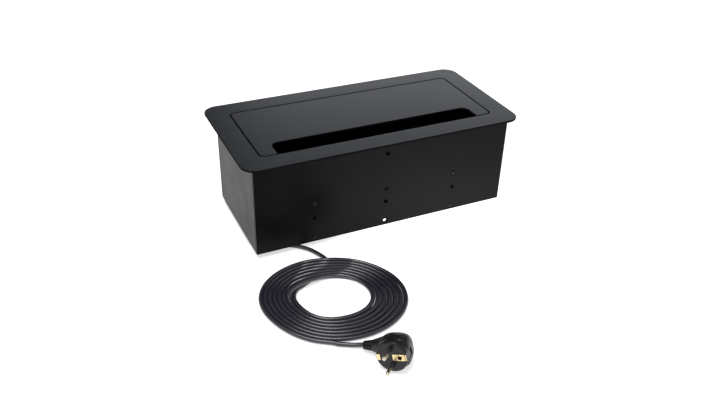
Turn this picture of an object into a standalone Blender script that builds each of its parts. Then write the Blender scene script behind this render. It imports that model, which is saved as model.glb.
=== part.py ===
"""In-desk power box: a flush brushed lid in a rounded frame over a deep folded-sheet housing.

Inside, a module with three earthed sockets hangs between two brackets. Its mains lead leaves the open
bottom of the housing, lies in a flat coil in front of it and ends in a right-angle earthed plug.

Metres, +Z up. The origin is on the surface the box stands on, under the centre of the frame.
+X is the long side, -Y the side with the cable slot in the lid.
"""

import math

import bmesh
import bpy
from mathutils import Matrix, Vector

MM = 0.001
GAP = 0.3 * MM

# Frame and lid
FRAME_LENGTH = 400 * MM
FRAME_WIDTH = 196 * MM
FRAME_THICK = 3.0 * MM
FRAME_RADIUS = 20 * MM
FRAME_TOP = 139.5 * MM
FRAME_BOTTOM = FRAME_TOP - FRAME_THICK
OPENING_X = 169.6 * MM
OPENING_Y = 67.4 * MM
OPENING_RADIUS = 7.5 * MM
LID_GAP = 1.0 * MM
LID_REAR_GAP = 1.2 * MM
LID_THICK = 2.5 * MM
LID_BOTTOM = FRAME_TOP - LID_THICK
SLOT_X = 146 * MM
SLOT_DEPTH = 31 * MM
SLOT_RADIUS = 10 * MM

# Lid hinge
PIVOT_Y = OPENING_Y - LID_REAR_GAP - 14 * MM
PIVOT_Z = FRAME_TOP - 5 * MM
PIN_RADIUS = 1.5 * MM
EAR_X = 165 * MM
EAR_THICK = 3 * MM
BLOCK_X = 177 * MM
BLOCK_SIZE = (12 * MM, 18 * MM, 9 * MM)

# Housing
SHEET = 1.5 * MM
HOUSE_X = 186.1 * MM
HOUSE_FRONT = -85.2 * MM
HOUSE_REAR = 72.5 * MM
HOUSE_BOTTOM = 7 * MM
HOUSE_TOP = FRAME_BOTTOM - GAP
FRONT_TAB = 15 * MM
REAR_TAB = 17 * MM
SIDE_RETURN = 14 * MM
STUD_RADIUS = 2.0 * MM
STUD_LENGTH = 9 * MM
FRONT_STUD_Y = HOUSE_FRONT + 8.5 * MM
REAR_STUD_Y = HOUSE_REAR + 9 * MM
STUD_X = 110 * MM
REST_X = 157 * MM
BUMPER_Y = -61 * MM

# Fixing holes in the front and rear panels
COLUMN_X = 105 * MM
SCREW_Z = (66.2 * MM, 13.4 * MM)
SPARE_Z = 44.2 * MM
MIDDLE_Z = (119 * MM, 65 * MM, 45 * MM, 14 * MM)
HOLE_RADIUS = 2.3 * MM
HOLE_BEVEL = 1.0 * MM
SCREW_HEAD_RADIUS = 4.6 * MM
SCREW_RADIUS = 2.1 * MM
SCREW_LENGTH = 10 * MM
HEAD_SUNK = 0.35 * MM

# Socket module
MODULE_X = 94 * MM
MODULE_FRONT = -22 * MM
MODULE_REAR = 40 * MM
MODULE_Y = (MODULE_FRONT + MODULE_REAR) / 2
CHANNEL_WALL = 1.8 * MM
CHANNEL_TOP = 48 * MM
PLATE_TOP = 50.1 * MM
CAP_THICK = 2.6 * MM
SOCKET_PITCH = 60 * MM
SOCKET_SIZE = 54 * MM
SOCKET_TOP = 53 * MM
WELL_RADIUS = 19.75 * MM
WELL_DEPTH = 17.5 * MM
CUP_RADIUS = 22 * MM
CUP_BOTTOM = 32 * MM
PLUG_PITCH = 9.5 * MM
PIN_HOLE_RADIUS = 2.8 * MM
SHUTTER_TRAVEL = 5 * MM
STRAP_Y = 18.4 * MM
BAR_START = -86.6 * MM
BRACKET_X = MODULE_X + CAP_THICK + 2 * GAP
BRACKET_BOTTOM = 9 * MM
BRACKET_TOP = 72 * MM
BRACKET_FLANGE = 16 * MM

# Mains lead
CORD_RADIUS = 2.85 * MM
GLAND_Z = 19 * MM
GLAND_END_X = -125 * MM
COIL_CENTRE = (-124.5 * MM, -199 * MM)
COIL_OUTER = (93 * MM, 81.5 * MM)
COIL_INNER = (45 * MM, 35.8 * MM)
COIL_TURN = math.radians(155)

# Plug, whose local axes are X towards the earth hole, Y from pin to pin and Z along the pins
PLUG_FACE = (-118.3 * MM, -337.8 * MM, 20.7 * MM)
PLUG_HEADING = math.radians(-137)
PLUG_LEAN = math.radians(6.6)
PLUG_ROLL = math.radians(16.4)
PLUG_RADIUS = 18.75 * MM
PLUG_BARREL = 17 * MM
PLUG_DEPTH = 34 * MM
RELIEF_Z = -22 * MM
RELIEF_END = 41.3 * MM
PLUG_PIN_RADIUS = 2.4 * MM
PLUG_PIN_LENGTH = 19 * MM

# Each material: colour, metallic, roughness
FINISHES = {
    "brushed_black": ((0.030, 0.033, 0.037), 0.6, 0.38),
    "black_coat": ((0.018, 0.018, 0.019), 0.1, 0.55),
    "black_screw": ((0.035, 0.035, 0.037), 0.8, 0.35),
    "zinc_steel": ((0.60, 0.60, 0.58), 1.0, 0.35),
    "steel": ((0.62, 0.62, 0.63), 1.0, 0.25),
    "black_plastic": ((0.020, 0.020, 0.021), 0.0, 0.45),
    "grey_plastic": ((0.22, 0.22, 0.23), 0.0, 0.5),
    "white_plastic": ((0.75, 0.75, 0.72), 0.0, 0.4),
    "rubber": ((0.025, 0.025, 0.026), 0.0, 0.75),
    "cord_sheath": ((0.030, 0.031, 0.036), 0.0, 0.5),
    "brass": ((0.80, 0.62, 0.32), 1.0, 0.25),
    "nickel": ((0.72, 0.69, 0.62), 1.0, 0.2),
    "wire_brown": ((0.16, 0.06, 0.025), 0.0, 0.5),
    "wire_blue": ((0.03, 0.11, 0.45), 0.0, 0.5),
    "wire_green": ((0.20, 0.42, 0.05), 0.0, 0.5),
}

X_AXIS, Y_AXIS, Z_AXIS = Vector((1, 0, 0)), Vector((0, 1, 0)), Vector((0, 0, 1))


# ---- Helpers

def clear_scene():
    for obj in list(bpy.data.objects):
        bpy.data.objects.remove(obj, do_unlink=True)


def new_collection(name):
    collection = bpy.data.collections.new(name)
    bpy.context.scene.collection.children.link(collection)
    return collection


def make_materials():
    made = {}
    for name, (colour, metallic, roughness) in FINISHES.items():
        material = bpy.data.materials.new(name)
        material.use_nodes = True
        shader = material.node_tree.nodes["Principled BSDF"]
        shader.inputs["Base Color"].default_value = (*colour, 1)
        shader.inputs["Metallic"].default_value = metallic
        shader.inputs["Roughness"].default_value = roughness
        made[name] = material
    return made


def add_mesh(name, form, finish=None):
    """A bmesh as an object: a part when it has a finish, else a cutter."""
    bmesh.ops.recalc_face_normals(form, faces=form.faces)
    mesh = bpy.data.meshes.new(name)
    form.to_mesh(mesh)
    form.free()
    return add_object(name, mesh, finish)


def add_object(name, mesh, finish=None):
    obj = bpy.data.objects.new(name, mesh)
    if finish:
        mesh.materials.append(MATERIALS[finish])
        PARTS.objects.link(obj)
    else:
        CUTTERS.objects.link(obj)
        obj.hide_render = True
        obj.display_type = "WIRE"
    return obj


def smooth(obj, degrees=35):
    obj.data.shade_smooth()
    obj.data.set_sharp_from_angle(angle=math.radians(degrees))
    return obj


def box_form(low, high, form=None):
    """A box between two corners, added to a bmesh."""
    form = form or bmesh.new()
    size = [b - a for a, b in zip(low, high)]
    centre = [(a + b) / 2 for a, b in zip(low, high)]
    place = Matrix.Translation(centre) @ Matrix.Diagonal((*size, 1))
    bmesh.ops.create_cube(form, size=1, matrix=place)
    return form


def round_form(start, along, length, radius, end_radius=None, segments=20, form=None):
    """A cylinder or cone that starts at a point and runs along a direction, added to a bmesh."""
    form = form or bmesh.new()
    direction = Vector(along).normalized()
    turn = direction.to_track_quat("Z", "Y").to_matrix().to_4x4()
    place = Matrix.Translation(Vector(start) + direction * length / 2) @ turn
    bmesh.ops.create_cone(
        form,
        cap_ends=True,
        segments=segments,
        radius1=radius,
        radius2=radius if end_radius is None else end_radius,
        depth=length,
        matrix=place,
    )
    return form


def combine(obj, other, operation="DIFFERENCE"):
    modifier = obj.modifiers.new(operation.title(), "BOOLEAN")
    modifier.object = other
    modifier.operation = operation
    modifier.solver = "EXACT"
    return obj


def to_mesh_object(curve_object, name, finish=None):
    """Replaces a curve object by a mesh object with welded caps."""
    graph = bpy.context.evaluated_depsgraph_get()
    bpy.context.view_layer.update()
    mesh = bpy.data.meshes.new_from_object(curve_object.evaluated_get(graph))
    place = curve_object.matrix_world.copy()
    bpy.data.objects.remove(curve_object, do_unlink=True)
    form = bmesh.new()
    form.from_mesh(mesh)
    bmesh.ops.remove_doubles(form, verts=form.verts, dist=1e-6)
    bmesh.ops.recalc_face_normals(form, faces=form.faces)
    form.to_mesh(mesh)
    form.free()
    mesh.materials.clear()
    obj = add_object(name, mesh, finish)
    obj.matrix_world = place
    return obj


def arc(centre, radius, start, end, steps):
    """Points on an arc between two angles in degrees."""
    points = []
    for i in range(steps + 1):
        angle = math.radians(start + (end - start) * i / steps)
        points.append((centre[0] + radius * math.cos(angle), centre[1] + radius * math.sin(angle)))
    return points


def rounded_rectangle(x0, x1, y0, y1, radius, steps=6):
    points = arc((x1 - radius, y0 + radius), radius, -90, 0, steps)
    points += arc((x1 - radius, y1 - radius), radius, 0, 90, steps)
    points += arc((x0 + radius, y1 - radius), radius, 90, 180, steps)
    points += arc((x0 + radius, y0 + radius), radius, 180, 270, steps)
    return points


def flat_plate(name, outlines, bottom, top, finish=None):
    """A plate from 2D outlines; outlines inside the first one are holes."""
    data = bpy.data.curves.new(name, "CURVE")
    data.dimensions = "2D"
    data.fill_mode = "BOTH"
    data.extrude = (top - bottom) / 2
    for outline in outlines:
        spline = data.splines.new("POLY")
        spline.points.add(len(outline) - 1)
        for point, (x, y) in zip(spline.points, outline):
            point.co = (x, y, 0, 1)
        spline.use_cyclic_u = True
    curve = bpy.data.objects.new(name + "_outline", data)
    curve.location.z = (bottom + top) / 2
    bpy.context.scene.collection.objects.link(curve)
    return to_mesh_object(curve, name, finish)


def folded_sheet(name, profile, axis, start, end, thickness, finish, inward):
    """A folded sheet: an open profile of outer-face points, swept along one axis and thickened inwards.

    The profile holds (y, z) points when axis is 0, (x, z) when it is 1 and (x, y) when it is 2.
    """
    form = bmesh.new()
    rows = []
    for at in (start, end):
        row = []
        for a, b in profile:
            point = [a, b]
            point.insert(axis, at)
            row.append(form.verts.new(point))
        rows.append(row)
    for i in range(len(profile) - 1):
        form.faces.new((rows[0][i], rows[0][i + 1], rows[1][i + 1], rows[1][i]))
    mesh = bpy.data.meshes.new(name)
    form.to_mesh(mesh)
    form.free()
    obj = add_object(name, mesh, finish)
    solid = obj.modifiers.new("Solidify", "SOLIDIFY")
    solid.thickness = thickness
    solid.offset = inward
    solid.use_even_offset = True
    solid.use_quality_normals = True
    return obj


def smooth_route(points, spacing):
    """Evenly spaced points on a Catmull-Rom curve through the given points."""
    knots = [Vector(p) for p in points]
    knots = [2 * knots[0] - knots[1]] + knots + [2 * knots[-1] - knots[-2]]
    dense = []
    for a, b, c, d in zip(knots, knots[1:], knots[2:], knots[3:]):
        for i in range(20):
            t = i / 20
            dense.append(
                0.5 * (2 * b + (c - a) * t + (2 * a - 5 * b + 4 * c - d) * t ** 2
                       + (3 * b - a - 3 * c + d) * t ** 3)
            )
    dense.append(knots[-2])
    reach = [0.0]
    for a, b in zip(dense, dense[1:]):
        reach.append(reach[-1] + (b - a).length)
    count = max(2, round(reach[-1] / spacing))
    out = []
    j = 0
    for i in range(count + 1):
        want = reach[-1] * i / count
        while j < len(reach) - 2 and reach[j + 1] < want:
            j += 1
        share = (want - reach[j]) / (reach[j + 1] - reach[j])
        out.append(dense[j].lerp(dense[j + 1], share))
    return out


def tube(name, points, radius, finish, resolution=2):
    data = bpy.data.curves.new(name, "CURVE")
    data.dimensions = "3D"
    data.bevel_depth = radius
    data.bevel_resolution = resolution
    data.use_fill_caps = True
    spline = data.splines.new("POLY")
    spline.points.add(len(points) - 1)
    for point, place in zip(spline.points, points):
        point.co = (*place, 1)
    data.materials.append(MATERIALS[finish])
    obj = bpy.data.objects.new(name, data)
    PARTS.objects.link(obj)
    return obj


def side_name(sign):
    return "left" if sign < 0 else "right"


# ---- Frame and lid

def make_frame():
    outer = rounded_rectangle(
        -FRAME_LENGTH / 2, FRAME_LENGTH / 2, -FRAME_WIDTH / 2, FRAME_WIDTH / 2, FRAME_RADIUS, 8
    )
    opening = rounded_rectangle(-OPENING_X, OPENING_X, -OPENING_Y, OPENING_Y, OPENING_RADIUS, 5)
    frame = flat_plate("top_frame", [outer, opening], FRAME_BOTTOM, FRAME_TOP, "brushed_black")
    studs = bmesh.new()
    for x, y in stud_places():
        start = (x, y, FRAME_BOTTOM + 1 * MM)
        round_form(start, -Z_AXIS, STUD_LENGTH + 1 * MM, STUD_RADIUS, segments=12, form=studs)
    combine(frame, add_mesh("frame_studs", studs), "UNION")


def stud_places():
    return [(x, y) for y in (FRONT_STUD_Y, REAR_STUD_Y) for x in (-STUD_X, STUD_X)]


def make_frame_nuts():
    for number, (x, y) in enumerate(stud_places(), 1):
        start = (x, y, HOUSE_TOP - SHEET - GAP)
        nut = add_mesh(
            f"frame_nut_{number}", round_form(start, -Z_AXIS, 3.2 * MM, 4.0 * MM, segments=6), "zinc_steel"
        )
        bore = round_form((x, y, FRAME_BOTTOM), -Z_AXIS, 12 * MM, STUD_RADIUS + GAP, segments=12)
        combine(nut, add_mesh(f"nut_bore_{number}", bore))


def make_lid():
    left, right = -OPENING_X + LID_GAP, OPENING_X - LID_GAP
    front, rear = -OPENING_Y + LID_GAP, OPENING_Y - LID_REAR_GAP
    radius = OPENING_RADIUS - LID_GAP
    slot_rear = -OPENING_Y + SLOT_DEPTH
    outline = [(-SLOT_X, front)]
    outline += arc((-SLOT_X + SLOT_RADIUS, slot_rear - SLOT_RADIUS), SLOT_RADIUS, 180, 90, 6)
    outline += arc((SLOT_X - SLOT_RADIUS, slot_rear - SLOT_RADIUS), SLOT_RADIUS, 90, 0, 6)
    outline.append((SLOT_X, front))
    outline += arc((right - radius, front + radius), radius, -90, 0, 5)
    outline += arc((right - radius, rear - radius), radius, 0, 90, 5)
    outline += arc((left + radius, rear - radius), radius, 90, 180, 5)
    outline += arc((left + radius, front + radius), radius, 180, 270, 5)
    lid = flat_plate("lid", [outline], LID_BOTTOM, FRAME_TOP, "brushed_black")
    ears = bmesh.new()
    bores = bmesh.new()
    for sign in (-1, 1):
        x = sign * EAR_X
        box_form(
            (x - EAR_THICK / 2, PIVOT_Y - 5 * MM, PIVOT_Z - 4.5 * MM),
            (x + EAR_THICK / 2, PIVOT_Y + 5 * MM, LID_BOTTOM + 1 * MM),
            ears,
        )
        start = (x - EAR_THICK, PIVOT_Y, PIVOT_Z)
        round_form(start, X_AXIS, 2 * EAR_THICK, PIN_RADIUS + GAP, segments=16, form=bores)
    combine(lid, add_mesh("lid_ears", ears), "UNION")
    combine(lid, add_mesh("lid_bores", bores))
    set_origin(lid, (0, PIVOT_Y, PIVOT_Z))


def set_origin(obj, place):
    """Moves an object's origin without moving its shape."""
    shift = Matrix.Translation(Vector(place))
    obj.data.transform(shift.inverted() @ obj.matrix_world)
    obj.matrix_world = shift


def make_hinges():
    for sign in (-1, 1):
        side = side_name(sign)
        half = [size / 2 for size in BLOCK_SIZE]
        top = HOUSE_TOP
        block = add_mesh(
            f"hinge_block_{side}",
            box_form(
                (sign * BLOCK_X - half[0], PIVOT_Y - half[1], top - BLOCK_SIZE[2]),
                (sign * BLOCK_X + half[0], PIVOT_Y + half[1], top),
            ),
            "black_coat",
        )
        inner = sign * (BLOCK_X - half[0])
        bore = round_form(
            (inner - sign * 1 * MM, PIVOT_Y, PIVOT_Z), sign * X_AXIS, 10 * MM, PIN_RADIUS + 0.15 * MM,
            segments=16,
        )
        combine(block, add_mesh(f"block_bore_{side}", bore))
        pin = round_form(
            (sign * (EAR_X - 2 * MM), PIVOT_Y, PIVOT_Z), sign * X_AXIS, 16.5 * MM, PIN_RADIUS, segments=16
        )
        smooth(add_mesh(f"hinge_pin_{side}", pin, "steel"))


def make_lid_rests():
    top = HOUSE_TOP - SHEET - GAP
    for sign in (-1, 1):
        side = side_name(sign)
        low = (sign * REST_X - 7 * MM, HOUSE_FRONT + SHEET + GAP, top - SHEET)
        high = (sign * REST_X + 7 * MM, BUMPER_Y + 5 * MM, top)
        add_mesh(f"lid_rest_{side}", box_form(low, high), "zinc_steel")
        start = (sign * REST_X, BUMPER_Y, top + GAP)
        bumper = round_form(start, Z_AXIS, LID_BOTTOM - top - 2 * GAP, 4 * MM, 3.4 * MM, segments=16)
        smooth(add_mesh(f"lid_bumper_{side}", bumper, "rubber"))


# ---- Housing

def fixing_places(sign_y):
    """(x, z, is_screw) of the holes in the front panel (-1) or the rear panel (1)."""
    places = []
    for x in (-COLUMN_X, COLUMN_X):
        places += [(x, z, True) for z in SCREW_Z]
        if sign_y < 0:
            places.append((x, SPARE_Z, False))
    if sign_y < 0:
        places += [(0, z, False) for z in MIDDLE_Z]
    return places


def cut_fixings(panel, face_y, into):
    """Cuts one panel's holes: bevelled bare holes, and countersunk ones for the bracket screws."""
    sinks = bmesh.new()
    bores = bmesh.new()
    lead = 1 * MM
    for x, z, is_screw in fixing_places(-into.y):
        wide = SCREW_HEAD_RADIUS + GAP + HEAD_SUNK if is_screw else HOLE_RADIUS + HOLE_BEVEL
        bore = SCREW_RADIUS + GAP if is_screw else HOLE_RADIUS
        start = Vector((x, face_y, z)) - into * lead
        depth = lead + min(wide - bore, SHEET + lead)
        round_form(start, into, depth, wide + lead, wide + lead - depth, segments=16, form=sinks)
        round_form(start, into, 2 * lead + SHEET, bore, segments=16, form=bores)
    combine(panel, add_mesh(panel.name + "_sinks", sinks))
    combine(panel, add_mesh(panel.name + "_bores", bores))


def cut_stud_holes(panel, y):
    holes = bmesh.new()
    for x in (-STUD_X, STUD_X):
        start = (x, y, HOUSE_TOP + 1 * MM)
        round_form(start, -Z_AXIS, SHEET + 2 * MM, STUD_RADIUS + GAP, segments=12, form=holes)
    combine(panel, add_mesh(panel.name + "_stud_holes", holes))


def make_panels():
    top = HOUSE_TOP
    front = folded_sheet(
        "front_panel",
        [(HOUSE_FRONT, HOUSE_BOTTOM), (HOUSE_FRONT, top), (HOUSE_FRONT + FRONT_TAB, top)],
        0, -HOUSE_X, HOUSE_X, SHEET, "black_coat", 1,
    )
    cut_fixings(front, HOUSE_FRONT, Y_AXIS)
    cut_stud_holes(front, FRONT_STUD_Y)
    rear = folded_sheet(
        "rear_panel",
        [(HOUSE_REAR, HOUSE_BOTTOM), (HOUSE_REAR, top - SHEET), (HOUSE_REAR + REAR_TAB, top - SHEET)],
        0, -HOUSE_X, HOUSE_X, SHEET, "black_coat", -1,
    )
    cut_fixings(rear, HOUSE_REAR, -Y_AXIS)
    cut_stud_holes(rear, REAR_STUD_Y)
    front_y = HOUSE_FRONT + SHEET + GAP
    rear_y = HOUSE_REAR - SHEET - GAP
    for sign in (-1, 1):
        inner_x = sign * (HOUSE_X - SIDE_RETURN)
        profile = [(inner_x, front_y), (sign * HOUSE_X, front_y), (sign * HOUSE_X, rear_y), (inner_x, rear_y)]
        folded_sheet(
            f"{side_name(sign)}_panel", profile, 2, HOUSE_BOTTOM, top - SHEET - GAP, SHEET, "black_coat", -sign
        )


# ---- Socket module

def make_module():
    profile = [
        (MODULE_FRONT, CHANNEL_TOP), (MODULE_FRONT, 0), (MODULE_REAR, 0), (MODULE_REAR, CHANNEL_TOP),
    ]
    folded_sheet("module_channel", profile, 0, -MODULE_X, MODULE_X, CHANNEL_WALL, "black_coat", -1)
    outline = rounded_rectangle(-MODULE_X, MODULE_X, MODULE_FRONT, MODULE_REAR, 1 * MM, 2)
    holes = [
        arc((x, MODULE_Y), CUP_RADIUS + 0.5 * MM, 0, 345, 23) for x in socket_places()
    ]
    flat_plate("socket_plate", [outline] + holes, CHANNEL_TOP + GAP, PLATE_TOP, "black_coat")
    for sign in (-1, 1):
        side = side_name(sign)
        inner = sign * (MODULE_X + GAP)
        outer = sign * (MODULE_X + GAP + CAP_THICK)
        low = (min(inner, outer), MODULE_FRONT, 0)
        high = (max(inner, outer), MODULE_REAR, PLATE_TOP)
        cap = add_mesh(f"end_cap_{side}", box_form(low, high), "black_plastic")
        bracket = make_bracket(side, sign)
        if sign < 0:
            start = (inner - sign * 5 * MM, MODULE_Y, GLAND_Z)
            hole = round_form(start, sign * X_AXIS, 20 * MM, 6.3 * MM, segments=20)
            cutter = add_mesh("gland_hole", hole)
            combine(cap, cutter)
            combine(bracket, cutter)


def socket_places():
    return (-SOCKET_PITCH, 0, SOCKET_PITCH)


def make_bracket(side, sign):
    front_y = HOUSE_FRONT + SHEET + GAP
    rear_y = HOUSE_REAR - SHEET - GAP
    root = sign * BRACKET_X
    tip = sign * (BRACKET_X + BRACKET_FLANGE)
    profile = [(tip, front_y), (root, front_y), (root, rear_y), (tip, rear_y)]
    bracket = folded_sheet(
        f"module_bracket_{side}", profile, 2, BRACKET_BOTTOM, BRACKET_TOP, SHEET, "zinc_steel", sign
    )
    bores = bmesh.new()
    for face_y, into in ((front_y, Y_AXIS), (rear_y, -Y_AXIS)):
        for z in SCREW_Z:
            start = Vector((sign * COLUMN_X, face_y, z)) - into * 0.2 * MM
            round_form(start, into, 3 * MM, SCREW_RADIUS + GAP, segments=12, form=bores)
    combine(bracket, add_mesh(f"bracket_bores_{side}", bores))
    return bracket


def make_bracket_screws():
    for face, face_y, into in (("front", HOUSE_FRONT, Y_AXIS), ("rear", HOUSE_REAR, -Y_AXIS)):
        for sign in (-1, 1):
            for height, z in zip(("upper", "lower"), SCREW_Z):
                make_screw(f"{face}_screw_{side_name(sign)}_{height}", (sign * COLUMN_X, face_y, z), into)


def make_screw(name, place, into):
    """A countersunk screw, turned about its own axis, whose head sits a little below the face."""
    head = SCREW_HEAD_RADIUS
    cone = SHEET - HEAD_SUNK
    profile = [
        (0, 0), (head, 0), (head - cone, -cone), (SCREW_RADIUS, -cone), (SCREW_RADIUS, -SCREW_LENGTH),
        (0, -SCREW_LENGTH),
    ]
    screw = turned(name, profile, "black_screw", 16)
    screw.rotation_euler = (-into).to_track_quat("Z", "Y").to_euler()
    screw.location = Vector(place) + into * HEAD_SUNK


def turned(name, profile, finish, steps):
    """A solid of revolution about local Z from (radius, height) points, listed from top to bottom."""
    form = bmesh.new()
    verts = [form.verts.new((r, 0, z)) for r, z in profile]
    for a, b in zip(verts, verts[1:]):
        form.edges.new((a, b))
    mesh = bpy.data.meshes.new(name)
    form.to_mesh(mesh)
    form.free()
    obj = add_object(name, mesh, finish)
    screw = obj.modifiers.new("Screw", "SCREW")
    screw.steps = steps
    screw.render_steps = steps
    screw.use_merge_vertices = True
    screw.merge_threshold = 0.01 * MM
    return obj


def make_sockets():
    for number, x in enumerate(socket_places(), 1):
        make_socket_insert(number, x)
        make_shutter(number, x)
        make_earth_strap(number, x)


def make_socket_insert(number, x):
    """A square face over a round cup, with the plug well, pin holes, strap slots and shutter pocket cut in."""
    half = SOCKET_SIZE / 2
    outline = rounded_rectangle(x - half, x + half, MODULE_Y - half, MODULE_Y + half, 4 * MM, 3)
    insert = flat_plate(f"socket_insert_{number}", [outline], PLATE_TOP + GAP, SOCKET_TOP, "black_plastic")
    centre = Vector((x, MODULE_Y, 0))
    cup_height = PLATE_TOP + 1 * MM - CUP_BOTTOM
    cup = round_form(centre + Z_AXIS * CUP_BOTTOM, Z_AXIS, cup_height, CUP_RADIUS, segments=28)
    combine(insert, add_mesh(f"socket_cup_{number}", cup), "UNION")
    floor = SOCKET_TOP - WELL_DEPTH
    well = round_form(centre + Z_AXIS * floor, Z_AXIS, WELL_DEPTH + 1 * MM, WELL_RADIUS, segments=28)
    combine(insert, add_mesh(f"socket_well_{number}", well))
    openings = bmesh.new()
    for sign in (-1, 1):
        start = centre + Vector((sign * PLUG_PITCH, 0, CUP_BOTTOM + 1 * MM))
        round_form(start, Z_AXIS, 4 * MM, PIN_HOLE_RADIUS, segments=12, form=openings)
        y = MODULE_Y + sign * (STRAP_Y - 0.35 * MM)
        low = (x - 3.5 * MM, y - 0.9 * MM, CUP_BOTTOM - 1 * MM)
        box_form(low, (x + 3.5 * MM, y + 0.9 * MM, floor + 1 * MM), openings)
    combine(insert, add_mesh(f"socket_openings_{number}", openings))
    pocket = box_form(
        (x - 15 * MM, MODULE_Y - 9.6 * MM, CUP_BOTTOM - 1 * MM),
        (x + 15 * MM, MODULE_Y + 10.2 * MM, CUP_BOTTOM + 2 * MM),
    )
    combine(insert, add_mesh(f"shutter_pocket_{number}", pocket))


def make_shutter(number, x):
    low = (x - 14.4 * MM, MODULE_Y - 4 * MM, CUP_BOTTOM + 0.3 * MM)
    high = (x + 14.4 * MM, MODULE_Y + 9.5 * MM, CUP_BOTTOM + 1.7 * MM)
    shutter = add_mesh(f"shutter_{number}", box_form(low, high), "grey_plastic")
    holes = bmesh.new()
    for sign in (-1, 1):
        start = (x + sign * PLUG_PITCH, MODULE_Y + SHUTTER_TRAVEL, CUP_BOTTOM - 1 * MM)
        round_form(start, Z_AXIS, 5 * MM, PIN_HOLE_RADIUS, segments=12, form=holes)
    combine(shutter, add_mesh(f"shutter_holes_{number}", holes))


def make_earth_strap(number, x):
    top = SOCKET_TOP - 3.5 * MM
    bottom = CUP_BOTTOM - 1 * MM
    profile = [
        (MODULE_Y - STRAP_Y, top), (MODULE_Y - STRAP_Y, bottom), (MODULE_Y + STRAP_Y, bottom),
        (MODULE_Y + STRAP_Y, top),
    ]
    folded_sheet(f"earth_strap_{number}", profile, 0, x - 3 * MM, x + 3 * MM, 0.7 * MM, "brass", -1)


def make_contacts():
    low = (-84 * MM, MODULE_Y - 13 * MM, 14 * MM)
    high = (84 * MM, MODULE_Y + 13 * MM, CUP_BOTTOM - 1.5 * MM)
    carrier = add_mesh("contact_carrier", box_form(low, high), "white_plastic")
    bores = bmesh.new()
    for x in socket_places():
        for sign in (-1, 1):
            start = (x + sign * PLUG_PITCH, MODULE_Y, 0)
            round_form(start, Z_AXIS, 50 * MM, PIN_HOLE_RADIUS, segments=12, form=bores)
    combine(carrier, add_mesh("pin_channels", bores))
    grooves = bmesh.new()
    for side, bar in ((-1, "live_bar"), (1, "neutral_bar")):
        y = MODULE_Y + side * 8 * MM
        box_form((-90 * MM, y - 0.9 * MM, 10 * MM), (90 * MM, y + 0.9 * MM, 26 * MM), grooves)
        add_mesh(bar, box_form((BAR_START, y - 0.5 * MM, 14 * MM), (82 * MM, y + 0.5 * MM, 25.5 * MM)), "brass")
    combine(carrier, add_mesh("bar_grooves", grooves))
    add_mesh(
        "earth_bar",
        box_form((BAR_START, MODULE_Y - 2 * MM, 12 * MM), (82 * MM, MODULE_Y + 2 * MM, 13.4 * MM)),
        "brass",
    )


# ---- Mains lead

def make_gland():
    """A ribbed strain relief through the left end cap, turned about X."""
    neck = 5.9 * MM
    inner = 91.8 * MM
    shoulder = BRACKET_X + SHEET + GAP
    end = -GLAND_END_X
    profile = [
        (0, end), (4.2 * MM, end), (6.0 * MM, shoulder + 3 * MM), (8.5 * MM, shoulder + 3 * MM),
        (8.5 * MM, shoulder), (neck, shoulder), (neck, inner), (0, inner),
    ]
    gland = turned("cord_gland", profile, "rubber", 20)
    gland.rotation_euler = (0, math.radians(-90), 0)
    gland.location = (0, MODULE_Y, GLAND_Z)


def make_wires():
    """Three cores from the gland to the ends of the bars."""
    cores = (
        ("wire_live", (-3 * MM, 1 * MM), (-8 * MM, 20 * MM), "wire_brown"),
        ("wire_neutral", (3 * MM, 1 * MM), (8 * MM, 20 * MM), "wire_blue"),
        ("wire_earth", (0, -3 * MM), (0, 12.7 * MM), "wire_green"),
    )
    for name, (start_y, start_z), (end_y, end_z), finish in cores:
        start = Vector((-91.1 * MM, MODULE_Y + start_y, GLAND_Z + start_z))
        end = Vector((BAR_START - 2 * GAP, MODULE_Y + end_y, end_z))
        straight = Vector((1.2 * MM, 0, 0))
        tube(name, smooth_route([start, start + straight, end - straight, end], 1 * MM), 1.1 * MM, finish)


LEAD_ROUTE = [
    (-125.9, 9, 19), (-131, 9, 18.9), (-141, 8, 14.5), (-151, 2, 8), (-159, -9, 4), (-163, -23, 2.9),
    (-162.5, -39, 2.9), (-157.5, -54, 2.9), (-148, -67, 2.9), (-137, -75.5, 2.9), (-129, -81.5, 2.9),
    (-121.5, -88.8, 2.9), (-115, -97.5, 2.9), (-109.8, -108.5, 2.9), (-106.8, -115.5, 2.9),
]
TAIL_ROUTE = [
    (-154.5, -278.5, 2.9), (-150.3, -280.7, 2.9), (-142.5, -285.1, 2.9), (-136.0, -289.0, 3.8),
    (-130.3, -293.1, 5.5),
]


def make_cord():
    for name, route in (("cord_lead", LEAD_ROUTE), ("cord_tail", TAIL_ROUTE)):
        points = [tuple(value * MM for value in point) for point in route]
        tube(name, smooth_route(points, 12 * MM if name == "cord_lead" else 5 * MM), CORD_RADIUS,
             "cord_sheath")
    ring = oval_form(COIL_OUTER, 0, 2 * CORD_RADIUS)
    coil = add_mesh("cord_coil", ring, "cord_sheath")
    combine(coil, add_mesh("coil_eye", oval_form(COIL_INNER, -5 * MM, 20 * MM)))


def oval_form(radii, bottom, top):
    form = bmesh.new()
    place = Matrix.Translation((*COIL_CENTRE, (bottom + top) / 2)) @ Matrix.Rotation(COIL_TURN, 4, "Z")
    place = place @ Matrix.Diagonal((*radii, 1, 1))
    bmesh.ops.create_cone(
        form, cap_ends=True, segments=48, radius1=1, radius2=1, depth=top - bottom, matrix=place
    )
    return form


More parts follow.
